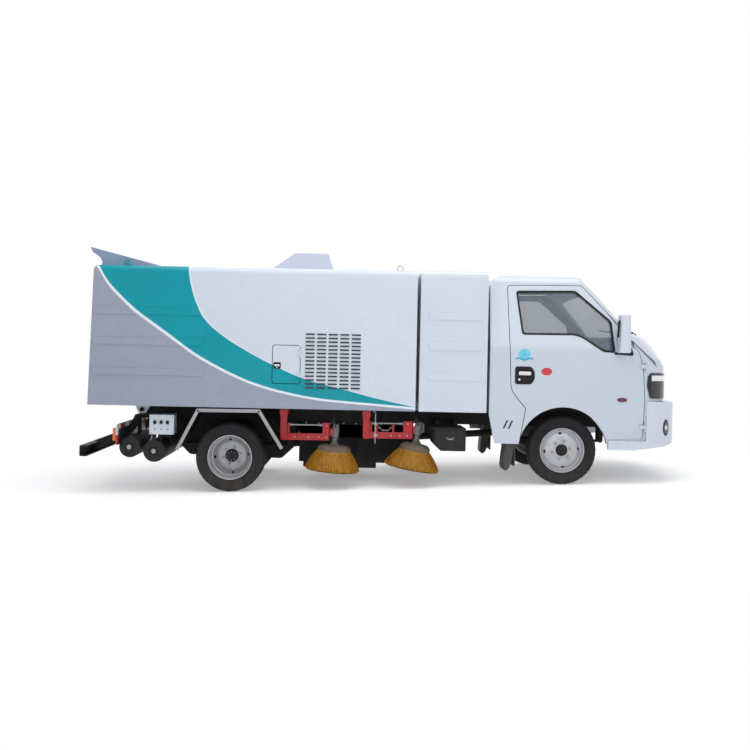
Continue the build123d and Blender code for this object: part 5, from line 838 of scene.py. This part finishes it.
# ---- brush arms ----
def addArm(shape, sizes):
    (px, pz), (mx, mz), y = sizes["pivot"], sizes["motor"], brushY
    beam, beamEnd, link, rodZ, top = (sizes[key] for key in ("beam", "beamEnd", "link", "rod", "top"))
    low, high, crown = pz - beam, pz + beam, rodZ + 0.022
    box(shape, (px - 0.012, -y - 0.027, low), (beamEnd, -y + 0.027, high), 0.005)
    rod(shape, (px, -y - 0.028, pz), (px, -y + 0.028, pz), beam, 0, 32, 0.002)
    for start, near, far in ((beamEnd - 0.03, -0.028, -0.016), (beamEnd - 0.03, 0.016, 0.028),
                             (link - 0.012, -0.028, 0.028)):
        box(shape, (start, -y + near, low), (link, -y + far, crown), 0.003)
    rodEnds = (px + 0.034, beamEnd - 0.014)
    rod(shape, (rodEnds[0], -y, rodZ), (rodEnds[1], -y, rodZ), 0.0065, 1, 16)
    for spot, way in zip(rodEnds, (1, -1)):  # forked ends and lock nuts
        rod(shape, (spot, -y, rodZ), (spot + way * 0.045, -y, rodZ), 0.011, 1, 6)
        hexBolt(shape, (spot + way * 0.05, -y, rodZ), (way, 0, 0), 0.0105, 0.008, 1)
    box(shape, (px + 0.03, -y - 0.02, high - 0.004), (px + 0.052, -y + 0.02, rodZ + 0.016), 0.003)  # the rod's post
    for spot in (px + 0.1, px + 0.22, beamEnd - 0.06):
        hexBolt(shape, (spot, -y - 0.027, pz), (0, -1, 0), 0.008, 0.0055, 1)
    for spot in (pz, rodZ):
        hexBolt(shape, (beamEnd + 0.008, -y - 0.028, spot), (0, -1, 0), 0.009, 0.006, 1)
    box(shape, (link - 0.004, -y - 0.025, mz - 0.092), (mx + 0.02, -y + 0.025, mz - 0.03), 0.005)
    place = spindle(sizes)
    turned(shape, [(0.0, -0.009), (0.024, -0.009), (0.028, -0.006), (0.03, 0.004), (0.0335, 0.006), (0.0335, 0.03),
                   (0.036, 0.032), (0.036, 0.052), (0.0345, 0.056), (0.0345, 0.086), (0.036, 0.09), (0.036, 0.104),
                   (0.03, 0.108), (0.027, 0.112), (0.027, top - 0.024), (0.0335, top - 0.02),
                   (0.0335, top - 0.0105), (0.0, top - 0.0105)], place, 40, 2)
    down = place.to_3x3() @ Vector((0, 0, 1))
    for number in range(4):
        hexBolt(shape, place @ around(0.024, (number + 0.5) / 4, -0.008), -down, 0.0045, 0.004, 1)
    for way in (-1, 1):  # ports and their short pipes back to the link plate
        port = place @ Vector((0.0, way * 0.012, 0.024))
        out = port + Vector((0, way * -0.034, 0))
        rod(shape, port + Vector((0, way * -0.02, 0)), out, 0.008, 1, 6)
        foot = (link - 0.004, -y + way * -0.02, rodZ + 0.004)
        bentTube(shape, [out, out + Vector((-0.002, way * -0.004, 0.03)), ((out.x + foot[0]) / 2, out.y, mz + 0.052),
                         (foot[0] + 0.02, foot[1], mz + 0.03), foot], 0.0055, 3)


def addChain(shape, links=9):  # lifting chain and adjusting rod on the front arm
    x, y = 1.265, -0.672
    rod(shape, (x, y, 0.134), (x, y, 0.4), 0.006, 1, 14)
    box(shape, (1.252, -0.682, 0.196), (1.278, -0.664, 0.222), 0.002, 1)
    box(shape, (1.2535, -0.681, 0.3), (1.2765, -0.663, 0.32), 0.002, 1)
    bentTube(shape, [(x, y, 0.398), (1.262, y, 0.418), (1.25, y, 0.424), (1.243, y, 0.412)], 0.004, 1)
    for number in range(links):
        run = number / (links - 1)
        spot = Vector((1.285 + 0.135 * run, -0.678, 0.296 - 0.045 * (1 - (2 * run - 1) ** 2)))
        part = bmesh.new()
        circle = bmesh.ops.create_circle(part, segments=6, radius=0.0017)["verts"]
        bmesh.ops.rotate(part, matrix=Matrix.Rotation(math.pi / 2, 3, "X"), verts=circle)
        bmesh.ops.translate(part, vec=(0.0065, 0, 0), verts=circle)
        bmesh.ops.spin(part, geom=part.verts[:] + part.edges[:], cent=(0, 0, 0), axis=(0, 0, 1), angle=math.tau,
                       steps=14, use_merge=True)
        bmesh.ops.scale(part, vec=(1.55, 1, 1), verts=part.verts)
        addInto(shape, part, 1, Matrix.Translation(spot) @ Matrix.Rotation(math.pi / 2 * (number % 2), 4, "X"))
    for pin, start in ((1.28, -0.668), (1.425, -0.664)):
        rod(shape, (pin, start, 0.301), (pin, -0.684, 0.301), 0.004, 1, 8)
    for edge in (1.417, 1.27):
        box(shape, (edge, -0.67, 0.232), (edge + 0.016, -0.664, 0.308), 0.002)


for end, sizes in brushes.items():
    shape = bmesh.new()
    addArm(shape, sizes)
    if end == "front":
        addChain(shape)
    saveBoth(shape, end + "Arm", ["brushRed", "zincPlate", "motorGrey", "blackPlastic"], end + "_brush_arm",
             end + "_brush_arm")
print("brush arms made")


# ---- pieces laid on the cab's side, drawn in x and z ----
def skinY(z):  # the cab's side, as a distance from the middle, at a height
    return 0.82 - max(0, z - 1.0) * 0.1406 - max(0, 0.52 - z) * 0.055


def cornerWidth(x, corner, reach, radius=0.26):  # half width where the plan rounds off towards the nose
    run = min(max(0, x - corner), radius * 0.995)
    return reach + math.sqrt(radius * radius - run * run)


def cabSide(x, z):
    return min(skinY(z), cornerWidth(x, 3.565, 0.56))


def bumperSide(x, z):
    return min(0.832, cornerWidth(x, 3.651, 0.572))


def bodySide(x, z):
    return 0.85


def draped(shape, outline, depth, skin=cabSide, lift=0.0002, slices=6, **others):
    laid(shape, outline, depth, lambda x, z, d: (x, -(skin(x, z) + lift + d), z), (slices, slices), **others)


def oval(x, z, width, height, steps=32):
    return [(x + width / 2 * math.cos(math.tau * n / steps), z + height / 2 * math.sin(math.tau * n / steps))
            for n in range(steps)]


def block(low, high):
    return [(low[0], low[1]), (high[0], low[1]), (high[0], high[1]), (low[0], high[1])]


# ---- doors ----
x0, z0, x1, z1 = 2.464, 0.691, 2.634, 0.845
door = {
    "window": [(2.467, 1.508), (2.99, 1.518), (3.302, 1.253), (3.332, 0.978), (3.226, 0.986), (3.154, 1.031),
               (3.055, 1.097), (2.985, 1.125), (2.521, 1.121)],
    "sail": [(3.322, 0.966), (3.484, 0.958), (3.488, 0.976), (3.468, 1.036), (3.45, 1.04), (3.43, 0.995),
             (3.322, 0.985)],
    "handle": [(x0, z0), (x1 - 0.03, z0), (x1, z0 + 0.045), (x1, z1 - 0.045), (x1 - 0.03, z1), (x0, z1)],
    "wave": [(2.462, 0.902), (2.49, 0.912), (2.54, 0.893), (2.596, 0.912), (2.624, 0.902), (2.61, 0.925),
             (2.54, 0.912), (2.476, 0.925)],
    "paints": ["rubberBlack", "hubBlackAndVentShade", "chromePlate", "ovalRed", "ovalRed", "badgeBlue", "badgeDeep", "markerRed"],
}
shape = bmesh.new()
draped(shape, door["window"], 0.0155, radius=0.03, ring=0.017, lift=-0.0138, bevel=0.002, slices=10)
draped(shape, door["sail"], 0.003, radius=0.006, bevel=0.001)
draped(shape, door["handle"], 0.0015, radius=0.02, paintIndex=1)
draped(shape, door["handle"], 0.006, radius=0.02, ring=0.016, bevel=0.002)
draped(shape, block((x0 + 0.03, z1 - 0.075), (x1 - 0.032, z1 - 0.046)), 0.011, radius=0.009, lift=0.001, paintIndex=2,
       bevel=0.003)
draped(shape, oval(x0 + 0.036, z0 + 0.04, 0.02, 0.02, 16), 0.004, lift=0.001, paintIndex=2, slices=2)
draped(shape, oval(2.738, 0.805, 0.094, 0.066), 0.0012, paintIndex=3)
draped(shape, oval(2.738, 0.805, 0.07, 0.03), 0.0018, paintIndex=4)
draped(shape, oval(2.543, 0.947, 0.104, 0.104), 0.001, paintIndex=5)
draped(shape, door["wave"], 0.0014, paintIndex=6)
draped(shape, oval(3.398, 0.572, 0.083, 0.035), 0.006, bevel=0.002)
draped(shape, oval(3.398, 0.572, 0.066, 0.022), 0.009, paintIndex=7, bevel=0.002)
saveBoth(shape, "doorTrim", door["paints"], "cab_door")

shape = bmesh.new()  # mirror glass on the housing's rear face
rearFace = Matrix.Translation((3.3345, -0.905, 1.145)) @ Matrix.Rotation(math.radians(-90), 4, "Y")
rearFace = rearFace @ Matrix.Rotation(math.radians(90), 4, "Z")
plate(shape, block((-0.056, -0.125), (0.056, 0.125)), 0.003, rearFace, 0.02)
saveBoth(shape, "mirrorGlass", ["mirrorFace"], "cab_door")

shape = bmesh.new()  # slots low behind the door, on the cab itself
for x, z in ((2.368, 0.303), (2.41, 0.3)):
    draped(shape, [(x, z), (x + 0.014, z), (x + 0.046, z + 0.072), (x + 0.032, z + 0.072)], 0.0014, radius=0.003,
           slices=2)
saveBoth(shape, "cabSlots", ["rubberBlack"], "chassis")
print("door trim made")

# ---- front end ----
front = {"nose": 3.893, "bumper": 3.982, "curve": 2.6, "fallFrom": 0.4, "fall": 0.1667, "slats": 3}


def noseX(y, reach):
    return reach - front["curve"] + math.sqrt(front["curve"] ** 2 - y * y)


def onBumper(y, z, d):  # the bumper falls back towards its foot
    fallen = front["bumper"] + 0.005 - max(0, front["fallFrom"] - z) * front["fall"]
    return min(noseX(y, front["bumper"]), fallen) - 0.001 + d, y, z


def onFront(shape, low, high, depth, radius, rows=1, **others):
    laid(shape, block(low, high), depth, onBumper, (18, rows), radius, **others)


shape = bmesh.new()
onFront(shape, (-0.52, 0.245), (0.52, 0.345), 0.0035, 0.02, rows=8)  # air intake
for number in range(front["slats"]):
    z = 0.268 + 0.027 * number
    onFront(shape, (-0.5, z - 0.0045), (0.5, z + 0.0045), 0.008, 0.002, paintIndex=1, bevel=0.002)
onFront(shape, (-0.23, 0.365), (0.23, 0.495), 0.006, 0.008, paintIndex=1, bevel=0.002)
onFront(shape, (-0.22, 0.375), (0.22, 0.485), 0.009, 0.006, paintIndex=2, bevel=0.001)
savePiece(shape, "bumperTrim", ["rubberBlack", "blackPlastic", "plateBlank"], "chassis")
shape = bmesh.new()
for paintIndex, (width, height, depth, steps, bevel) in enumerate((
        (0.062, 0.142, 0.0045, 28, 0.002), (0.046, 0.112, 0.0075, 28, 0.002), (0.03, 0.04, 0.0095, 20, 0.001))):
    ring = oval(3.792, 0.338, width, height, steps)
    draped(shape, ring, depth, bumperSide, -0.001, paintIndex=paintIndex, bevel=bevel)
saveBoth(shape, "fogLamp", ["rubberBlack", "smokedLens", "lampBright"], "chassis")


def onScreen(y, up, lift):
    slope = Vector((3.249 - 3.69, 0, 1.551 - 1.107)).normalized()
    outwards = Vector((slope.z, 0, -slope.x))
    return Vector((noseX(y, 3.69), y, 1.107)) + slope * up + outwards * lift


shape = bmesh.new()  # wipers lying on the foot of the windscreen
for pivot in (-0.34, 0.06):
    rod(shape, onScreen(pivot, 0.03, -0.012), onScreen(pivot, 0.03, 0.022), 0.012, 0, 16)
    bentTube(shape, [onScreen(pivot + along, up, lift) for along, up, lift in (
        (0, 0.03, 0.02), (0.06, 0.06, 0.03), (0.2, 0.09, 0.026), (0.3, 0.1, 0.02))], 0.005)
    bentTube(shape, [onScreen(pivot + 0.06 + 0.42 * run, 0.062 + 0.065 * run, 0.014)
                     for run in (0, 0.25, 0.5, 0.75, 1)], 0.0055)
savePiece(shape, "wipers", ["rubberBlack"], "chassis")
print("front end made")

# ---- sweeper body: hatch latch ----
shape = bmesh.new()
draped(shape, block((0.366, 0.783), (0.43, 0.838)), 0.006, bodySide, -0.0005, radius=0.008, bevel=0.002)
draped(shape, block((0.376, 0.803), (0.42, 0.818)), 0.0095, bodySide, -0.0005, radius=0.004, paintIndex=1, bevel=0.002)
draped(shape, oval(0.398, 0.793, 0.01, 0.01, 14), 0.009, bodySide, -0.0005, 2, paintIndex=1)
saveBoth(shape, "hatchLatch", ["rubberBlack", "chromePlate"], "hatch")

# ---- rear end ----
shape = bmesh.new()
for y in (-0.775, 0.775):  # striped tape on the light bar's ends
    box(shape, (-0.9975, y - 0.027, 0.174), (-0.9825, y + 0.027, 0.253), 0.0015, 0)
    box(shape, (-0.9975, y - 0.0271, 0.094), (-0.9825, y + 0.0271, 0.1738), 0.0015, 1)
savePiece(shape, "endTape", ["tapeWhite", "tapeRed"], "chassis")
shape = bmesh.new()
for x, z in ((-0.883, 0.07), (-0.669, 0.039)):  # drain plugs in the air tanks' ends
    turned(shape, [(0.0, 0.014), (0.012, 0.014), (0.014, 0.012), (0.014, 0.004), (0.02, 0.0035), (0.02, 0.0)],
           aim((x, -0.7795, z), (0, -1, 0)), 24, 1)
    hexBolt(shape, (x, -0.79, z), (0, -1, 0), 0.009, 0.008, 1)
savePiece(shape, "tankPlugs", ["blackPlastic", "zincPlate"], "chassis")

panel = {"face": -0.7805, "switches": (-0.662, -0.607, -0.552), "glands": (-0.667, -0.615, -0.563, -0.53),
         "glandY": -0.735}
face, y = panel["face"], panel["glandY"]
shape = bmesh.new()  # switch panel on the control box
for x in panel["switches"]:
    box(shape, (x - 0.01, face - 0.006, 0.272), (x + 0.01, face + 0.001, 0.308), 0.003)
    rod(shape, (x, face - 0.005, 0.292), (x, face - 0.032, 0.302), 0.0065, 0, 14)
    rod(shape, (x, face + 0.001, 0.292), (x, face - 0.013, 0.292), 0.014)
    box(shape, (x - 0.008, face - 0.0022, 0.228), (x + 0.008, face + 0.001, 0.235), 0.001)
for x in (-0.697, -0.509):
    for z in (0.2, 0.34):
        rod(shape, (x, face + 0.001, z), (x, face - 0.003, z), 0.005, 1, 12, 0.0008)
for x in panel["glands"]:
    rod(shape, (x, y, 0.186), (x, y, 0.166), 0.011, 0, 16)
    rod(shape, (x, y, 0.17), (x, y, 0.158), 0.014, 0, 6)
box(shape, (-0.712, face - 0.004, 0.348), (-0.494, face + 0.02, 0.3562), 0.002, 2)
savePiece(shape, "switchPanel", ["rubberBlack", "zincPlate", "whitePaint"], "chassis")
shape = bmesh.new()
for x, bend in ((-0.667, 0.03), (-0.615, -0.02), (-0.53, 0.02)):
    away = x + bend * 2
    bentTube(shape, [(x, y, 0.164), (x, y, 0.12), (x + bend, -0.7, 0.1), (away, -0.6, 0.15), (away, -0.45, 0.2),
                     (away, -0.3445, 0.22)], 0.0055)
bentTube(shape, [(-0.7, -0.7, 0.168), (-0.702, -0.7, 0.135), (-0.72, -0.7, 0.125)], 0.006, 1)
savePiece(shape, "switchLeads", ["rubberBlack", "tapeWhite"], "chassis")

shape = bmesh.new()  # bright strip along the mudguards' edges
edge = [Vector(point) for point in ((-0.453, -0.8495, 0.066), (-0.28, -0.8495, 0.408), (0.25, -0.8495, 0.412),
                                    (0.45, -0.8495, 0.095))]
for start, finish in zip(edge, edge[1:]):
    run = finish - start
    box(shape, (-0.006, -0.004, -0.0145), (run.length + 0.006, 0.002, 0.0145), 0.0015, 0,
        Matrix.Translation(start) @ facing(run, "X", "Z"))
saveBoth(shape, "guardStrip", ["stripSilver"], "chassis")
print("rear end made")

# ---- a handle on the side box ----
shape = bmesh.new()
draped(shape, block((1.872, 0.185), (1.952, 0.222)), 0.004, lambda x, z: 0.8, -0.001, radius=0.008, bevel=0.001)
bentTube(shape, [(1.884, -0.803, 0.212), (1.884, -0.818, 0.2), (1.94, -0.818, 0.2), (1.94, -0.803, 0.212)],
         0.004, 1)
savePiece(shape, "boxHandle", ["blackPlastic", "zincPlate"], "chassis")


# ---- hood below the windscreen ----
hood = {
    "profile": [(3.664, 1.131), (3.69, 1.141), (3.725, 1.133), (3.772, 1.101), (3.822, 1.051), (3.864, 0.985),
                (3.888, 0.912), (3.8965, 0.858), (3.8965, 0.826)],
    "half": 0.765, "full": 0.3, "cornerFrom": 0.6356, "thickness": 0.004,
}


def alongProfile(points, run):
    spot = run * (len(points) - 1)
    number = min(int(spot), len(points) - 2)
    return Vector(points[number]).lerp(Vector(points[number + 1]), spot - number)


def planDrop(y):  # how far the plan falls back from the nose at a distance from the middle
    wide = abs(y)
    if wide <= hood["cornerFrom"]:
        return front["curve"] - math.sqrt(front["curve"] ** 2 - wide * wide)
    return front["nose"] - 3.565 - math.sqrt(max(0.26 ** 2 - (wide - 0.56) ** 2, 0.0001))


shape = bmesh.new()
part = bmesh.new()
bmesh.ops.create_grid(part, x_segments=16, y_segments=44, size=0.5)
for vert in part.verts:
    run, y = vert.co.x + 0.5, vert.co.y * 2 * hood["half"]
    x, z = alongProfile(hood["profile"], run)
    fade = max(0.0, min(1.0, (hood["half"] - abs(y)) / (hood["half"] - hood["full"])))
    fade = fade * fade * (3 - 2 * fade)
    flat = min(x, front["nose"] - max(0.0, z - 0.903) * 0.993)  # the panel underneath
    drop = planDrop(y) * (1.41 - 0.41 * run)
    vert.co = (flat + (x - flat) * fade - drop - 0.004 * (1 - fade), y, z)
bmesh.ops.recalc_face_normals(part, faces=part.faces)
if sum(face.normal.x for face in part.faces) < 0:
    bmesh.ops.reverse_faces(part, faces=part.faces)
bmesh.ops.solidify(part, geom=part.faces[:], thickness=hood["thickness"])
addInto(shape, part)
savePiece(shape, "hoodPanel", ["hoodPaint"], "chassis", sharp=50)

# ---- seats: crowned cushions with sewn channels ----
seat = {
    "y": 0.4, "cuts": (18, 14, 3), "channel": 0.007,
    "cushions": {  # size, crown, channels, place, lean, corner, fill
        "seatBase": ((0.46, 0.47, 0.12), 0.02, (-0.55, -0.1, 0.35), (2.755, 0.7), -3, 0.03, 0.8),
        "seatBack": ((0.48, 0.46, 0.1), 0.018, (-0.6, -0.2, 0.2, 0.6), (2.472, 0.985), 76, 0.03, 0.8),
        "headRest": ((0.085, 0.25, 0.075), 0.01, (), (2.418, 1.285), 76, 0.022, 0.9),
    },
}


def cushion(size, crown, channels, corner):
    part = bmesh.new()
    bmesh.ops.create_cube(part, size=1.0)
    bmesh.ops.scale(part, vec=size, verts=part.verts)
    bevelled(part, part.edges[:], corner, 3)
    for axis, cuts in enumerate(seat["cuts"]):
        cutAcross(part, axis, [size[axis] * (number / cuts - 0.5) for number in range(1, cuts)], 1e-5)
    for vert in part.verts:
        u, v, w = (c / (s / 2) for c, s in zip(vert.co, size))
        if w > 0:
            rise = crown * (1 - u ** 4) * (1 - v ** 4)
            for line in channels:
                rise -= seat["channel"] * math.exp(-((u - line) / 0.035) ** 2) * (1 - abs(v) ** 6)
            for line in (-0.62, 0.62):
                rise -= seat["channel"] * math.exp(-((v - line) / 0.045) ** 2) * (1 - abs(u) ** 6)
            vert.co.z += rise * w
        vert.co.x *= 1 - 0.025 * (1 - v * v) * abs(u)
        vert.co.y *= 1 - 0.03 * (1 - u * u) * abs(v)
    return part


for sideName, side in (("Right", -1), ("Left", 1)):
    for name, (size, crown, channels, place, lean, corner, fill) in seat["cushions"].items():
        shape = bmesh.new()
        turn = Matrix.Translation((place[0], side * seat["y"], place[1])) @ Matrix.Rotation(math.radians(lean), 4, "Y")
        addInto(shape, cushion(size, crown, channels, corner), place=turn)
        piece = savePiece(shape, name + sideName, ["seatCloth"], "chassis", sharp=180)
        finer = piece.modifiers.new("finer", "SUBSURF")
        finer.levels = finer.render_levels = 1
        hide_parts("seats")
shape = bmesh.new()
y = -seat["y"]
box(shape, (2.505, y - 0.2, 0.5603), (2.955, y + 0.2, 0.645), 0.012)
box(shape, (2.53, y - 0.215, 0.632), (2.965, y + 0.215, 0.652), 0.006)
for way in (-1, 1):  # recliner covers, and the head rest's stems
    turned(shape, [(0.0, 0.012), (0.03, 0.012), (0.045, 0.006), (0.047, 0.0)],
           aim((2.53, y + way * 0.235, 0.72), (0, way, 0)), 24)
for offset in (-0.06, 0.06):
    rod(shape, (2.438, y + offset, 1.19), (2.424, y + offset, 1.258), 0.006, 1, 12)
box(shape, (2.56, y + 0.245, 0.66), (2.59, y + 0.262, 0.8), 0.005, 2)  # the belt's buckle
saveBoth(shape, "seatFrame", ["dashGrey", "zincPlate", "tapeRed"], "chassis")

# ---- dashboard fittings and a lever ----
shape = bmesh.new()
for y in (-0.62, -0.12, 0.12, 0.66):  # air vents on the dashboard's face
    box(shape, (3.392, y - 0.055, 0.9), (3.405, y + 0.055, 0.955), 0.006, 0)
    for number in range(4):
        z = 0.9085 + 0.0125 * number
        box(shape, (3.386, y - 0.047, z), (3.396, y + 0.047, z + 0.004), 0.0015, 1)
box(shape, (3.393, -0.09, 0.825), (3.402, 0.09, 0.885), 0.005, 0)
for y in (-0.06, 0.0, 0.06):
    rod(shape, (3.395, y, 0.855), (3.377, y, 0.855), 0.014, 1, 20, 0.003)
box(shape, (3.389, -0.56, 0.83), (3.398, -0.2, 0.887), 0.006, 1)
box(shape, (3.385, -0.41, 0.866), (3.392, -0.35, 0.876), 0.002, 0)
turned(shape, [(0.0, 0.0), (0.06, 0.0), (0.062, 0.006), (0.05, 0.03), (0.032, 0.05), (0.018, 0.075), (0.013, 0.1),
               (0.0, 0.1)], aim((3.08, 0.0, 0.562), (0, 0, 1)), 32)
rod(shape, (3.08, 0, 0.65), (3.045, 0, 0.86), 0.008, 2, 14)
turned(shape, [(0.0, 0.03), (0.014, 0.028), (0.023, 0.016), (0.024, 0.0), (0.016, -0.016), (0.009, -0.024),
               (0.0, -0.024)], aim((3.043, 0, 0.872), (-0.16, 0, 1)), 24, 1)
savePiece(shape, "dashFittings", ["rubberBlack", "dashGrey", "zincPlate"], "chassis")

# ---- near-black skirts beside the nozzle and a sheet by the rear axle, rubber in part and painted shade in part, filling the dark under the body; moulded flaps behind the front wheels ----
shape = bmesh.new()
part = bmesh.new()
bmesh.ops.create_grid(part, x_segments=60, y_segments=10, size=0.5)
for vert in part.verts:
    x, z = 1.1 + vert.co.x * 1.04, 0.115 + vert.co.y * 0.37
    droop = max(0.0, min(1.0, (0.12 - z) / 0.2))
    vert.co = (x, -0.3475 - 0.006 * droop * math.sin(x * 21) - 0.003 * droop * math.sin(x * 47 + 1), z)
bmesh.ops.solidify(part, geom=part.faces[:], thickness=0.004)
addInto(shape, part)
for number in range(9):
    hexBolt(shape, (0.64 + 0.115 * number, -0.352, 0.282), (0, -1, 0), 0.008, 0.005, 1)
box(shape, (0.59, -0.3535, 0.27), (1.61, -0.3495, 0.2955), 0.001, 2)
saveBoth(shape, "nozzleShadeSkirt", ["shadeSkirtRubber", "zincPlate", "frameBlack"], "chassis")
flaps = {  # outline in x and z, paint, depth, distance from the middle and edge radius
    # a near-black sheet by the rear axle: painted shade under the body
    "underShadeSheet": ([(-0.72, 0.31), (-0.72, 0.1), (-0.5, 0.05), (-0.42, -0.03), (0.42, -0.05), (0.54, 0.06),
                     (0.56, 0.31)], "shadeSkirtRubber", 0.003, 0.3475, 0.001),
    "wheelFlap": ([(2.48, 0.27), (2.42, 0.25), (2.4, 0.16), (2.385, 0.03), (2.38, -0.045), (2.4, -0.075),
                   (2.43, -0.055), (2.452, -0.01), (2.47, 0.09), (2.482, 0.2)], "flapRubber", 0.19, 0.585, 0.012),
}
for name, (outline, paintName, depth, y, bevel) in flaps.items():
    shape = bmesh.new()
    upright = Matrix.Translation((0, -y, 0)) @ Matrix.Rotation(math.radians(90), 4, "X")
    plate(shape, outline, depth, upright, 0.02, bevel)
    saveBoth(shape, name, [paintName], "chassis")

# ---- tail door: pressed ribs, frame, latches and a blank plate ----
tail = {"low": -1.237, "high": -1.203, "foot": 0.437, "top": 1.66, "ribs": (0.62, 0.84, 1.06, 1.28)}


def onTail(shape, low, high, depth, radius, bevel, paintIndex=0):  # low and high are (y, z)
    slope = math.atan2(tail["high"] - tail["low"], tail["top"] - tail["foot"])
    x = tail["low"] + (low[1] - tail["foot"]) * math.tan(slope)
    place = Matrix.Translation((x + 0.0005, 0, low[1])) @ Matrix.Rotation(slope, 4, "Y")
    place = place @ Matrix.Rotation(math.radians(-90), 4, "Y") @ Matrix.Rotation(math.radians(-90), 4, "Z")
    plate(shape, block((-high[0], 0), (-low[0], high[1] - low[1])), depth, place, radius, bevel, paintIndex)


shape = bmesh.new()
for z in tail["ribs"]:
    onTail(shape, (-0.72, z), (0.72, z + 0.07), 0.007, 0.02, 0.004)
for y in (-0.775, 0.745):
    onTail(shape, (y, 0.49), (y + 0.03, 1.53), 0.006, 0.006, 0.003)
for y in (-0.5, 0.5):
    onTail(shape, (y - 0.035, 0.495), (y + 0.035, 0.585), 0.008, 0.008, 0.003, 1)
    onTail(shape, (y - 0.012, 0.505), (y + 0.012, 0.575), 0.02, 0.008, 0.004, 2)
onTail(shape, (-0.22, 0.5), (0.22, 0.6), 0.004, 0.006, 0.001, 3)
savePiece(shape, "tailDoorTrim", ["greyPaint", "frameBlack", "zincPlate", "plateBlank"], "tail_door")
print("inside, skirts and tail door made")

sizes = {"cad": sizeAtLoad, "visual": [list(corner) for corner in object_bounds()]}
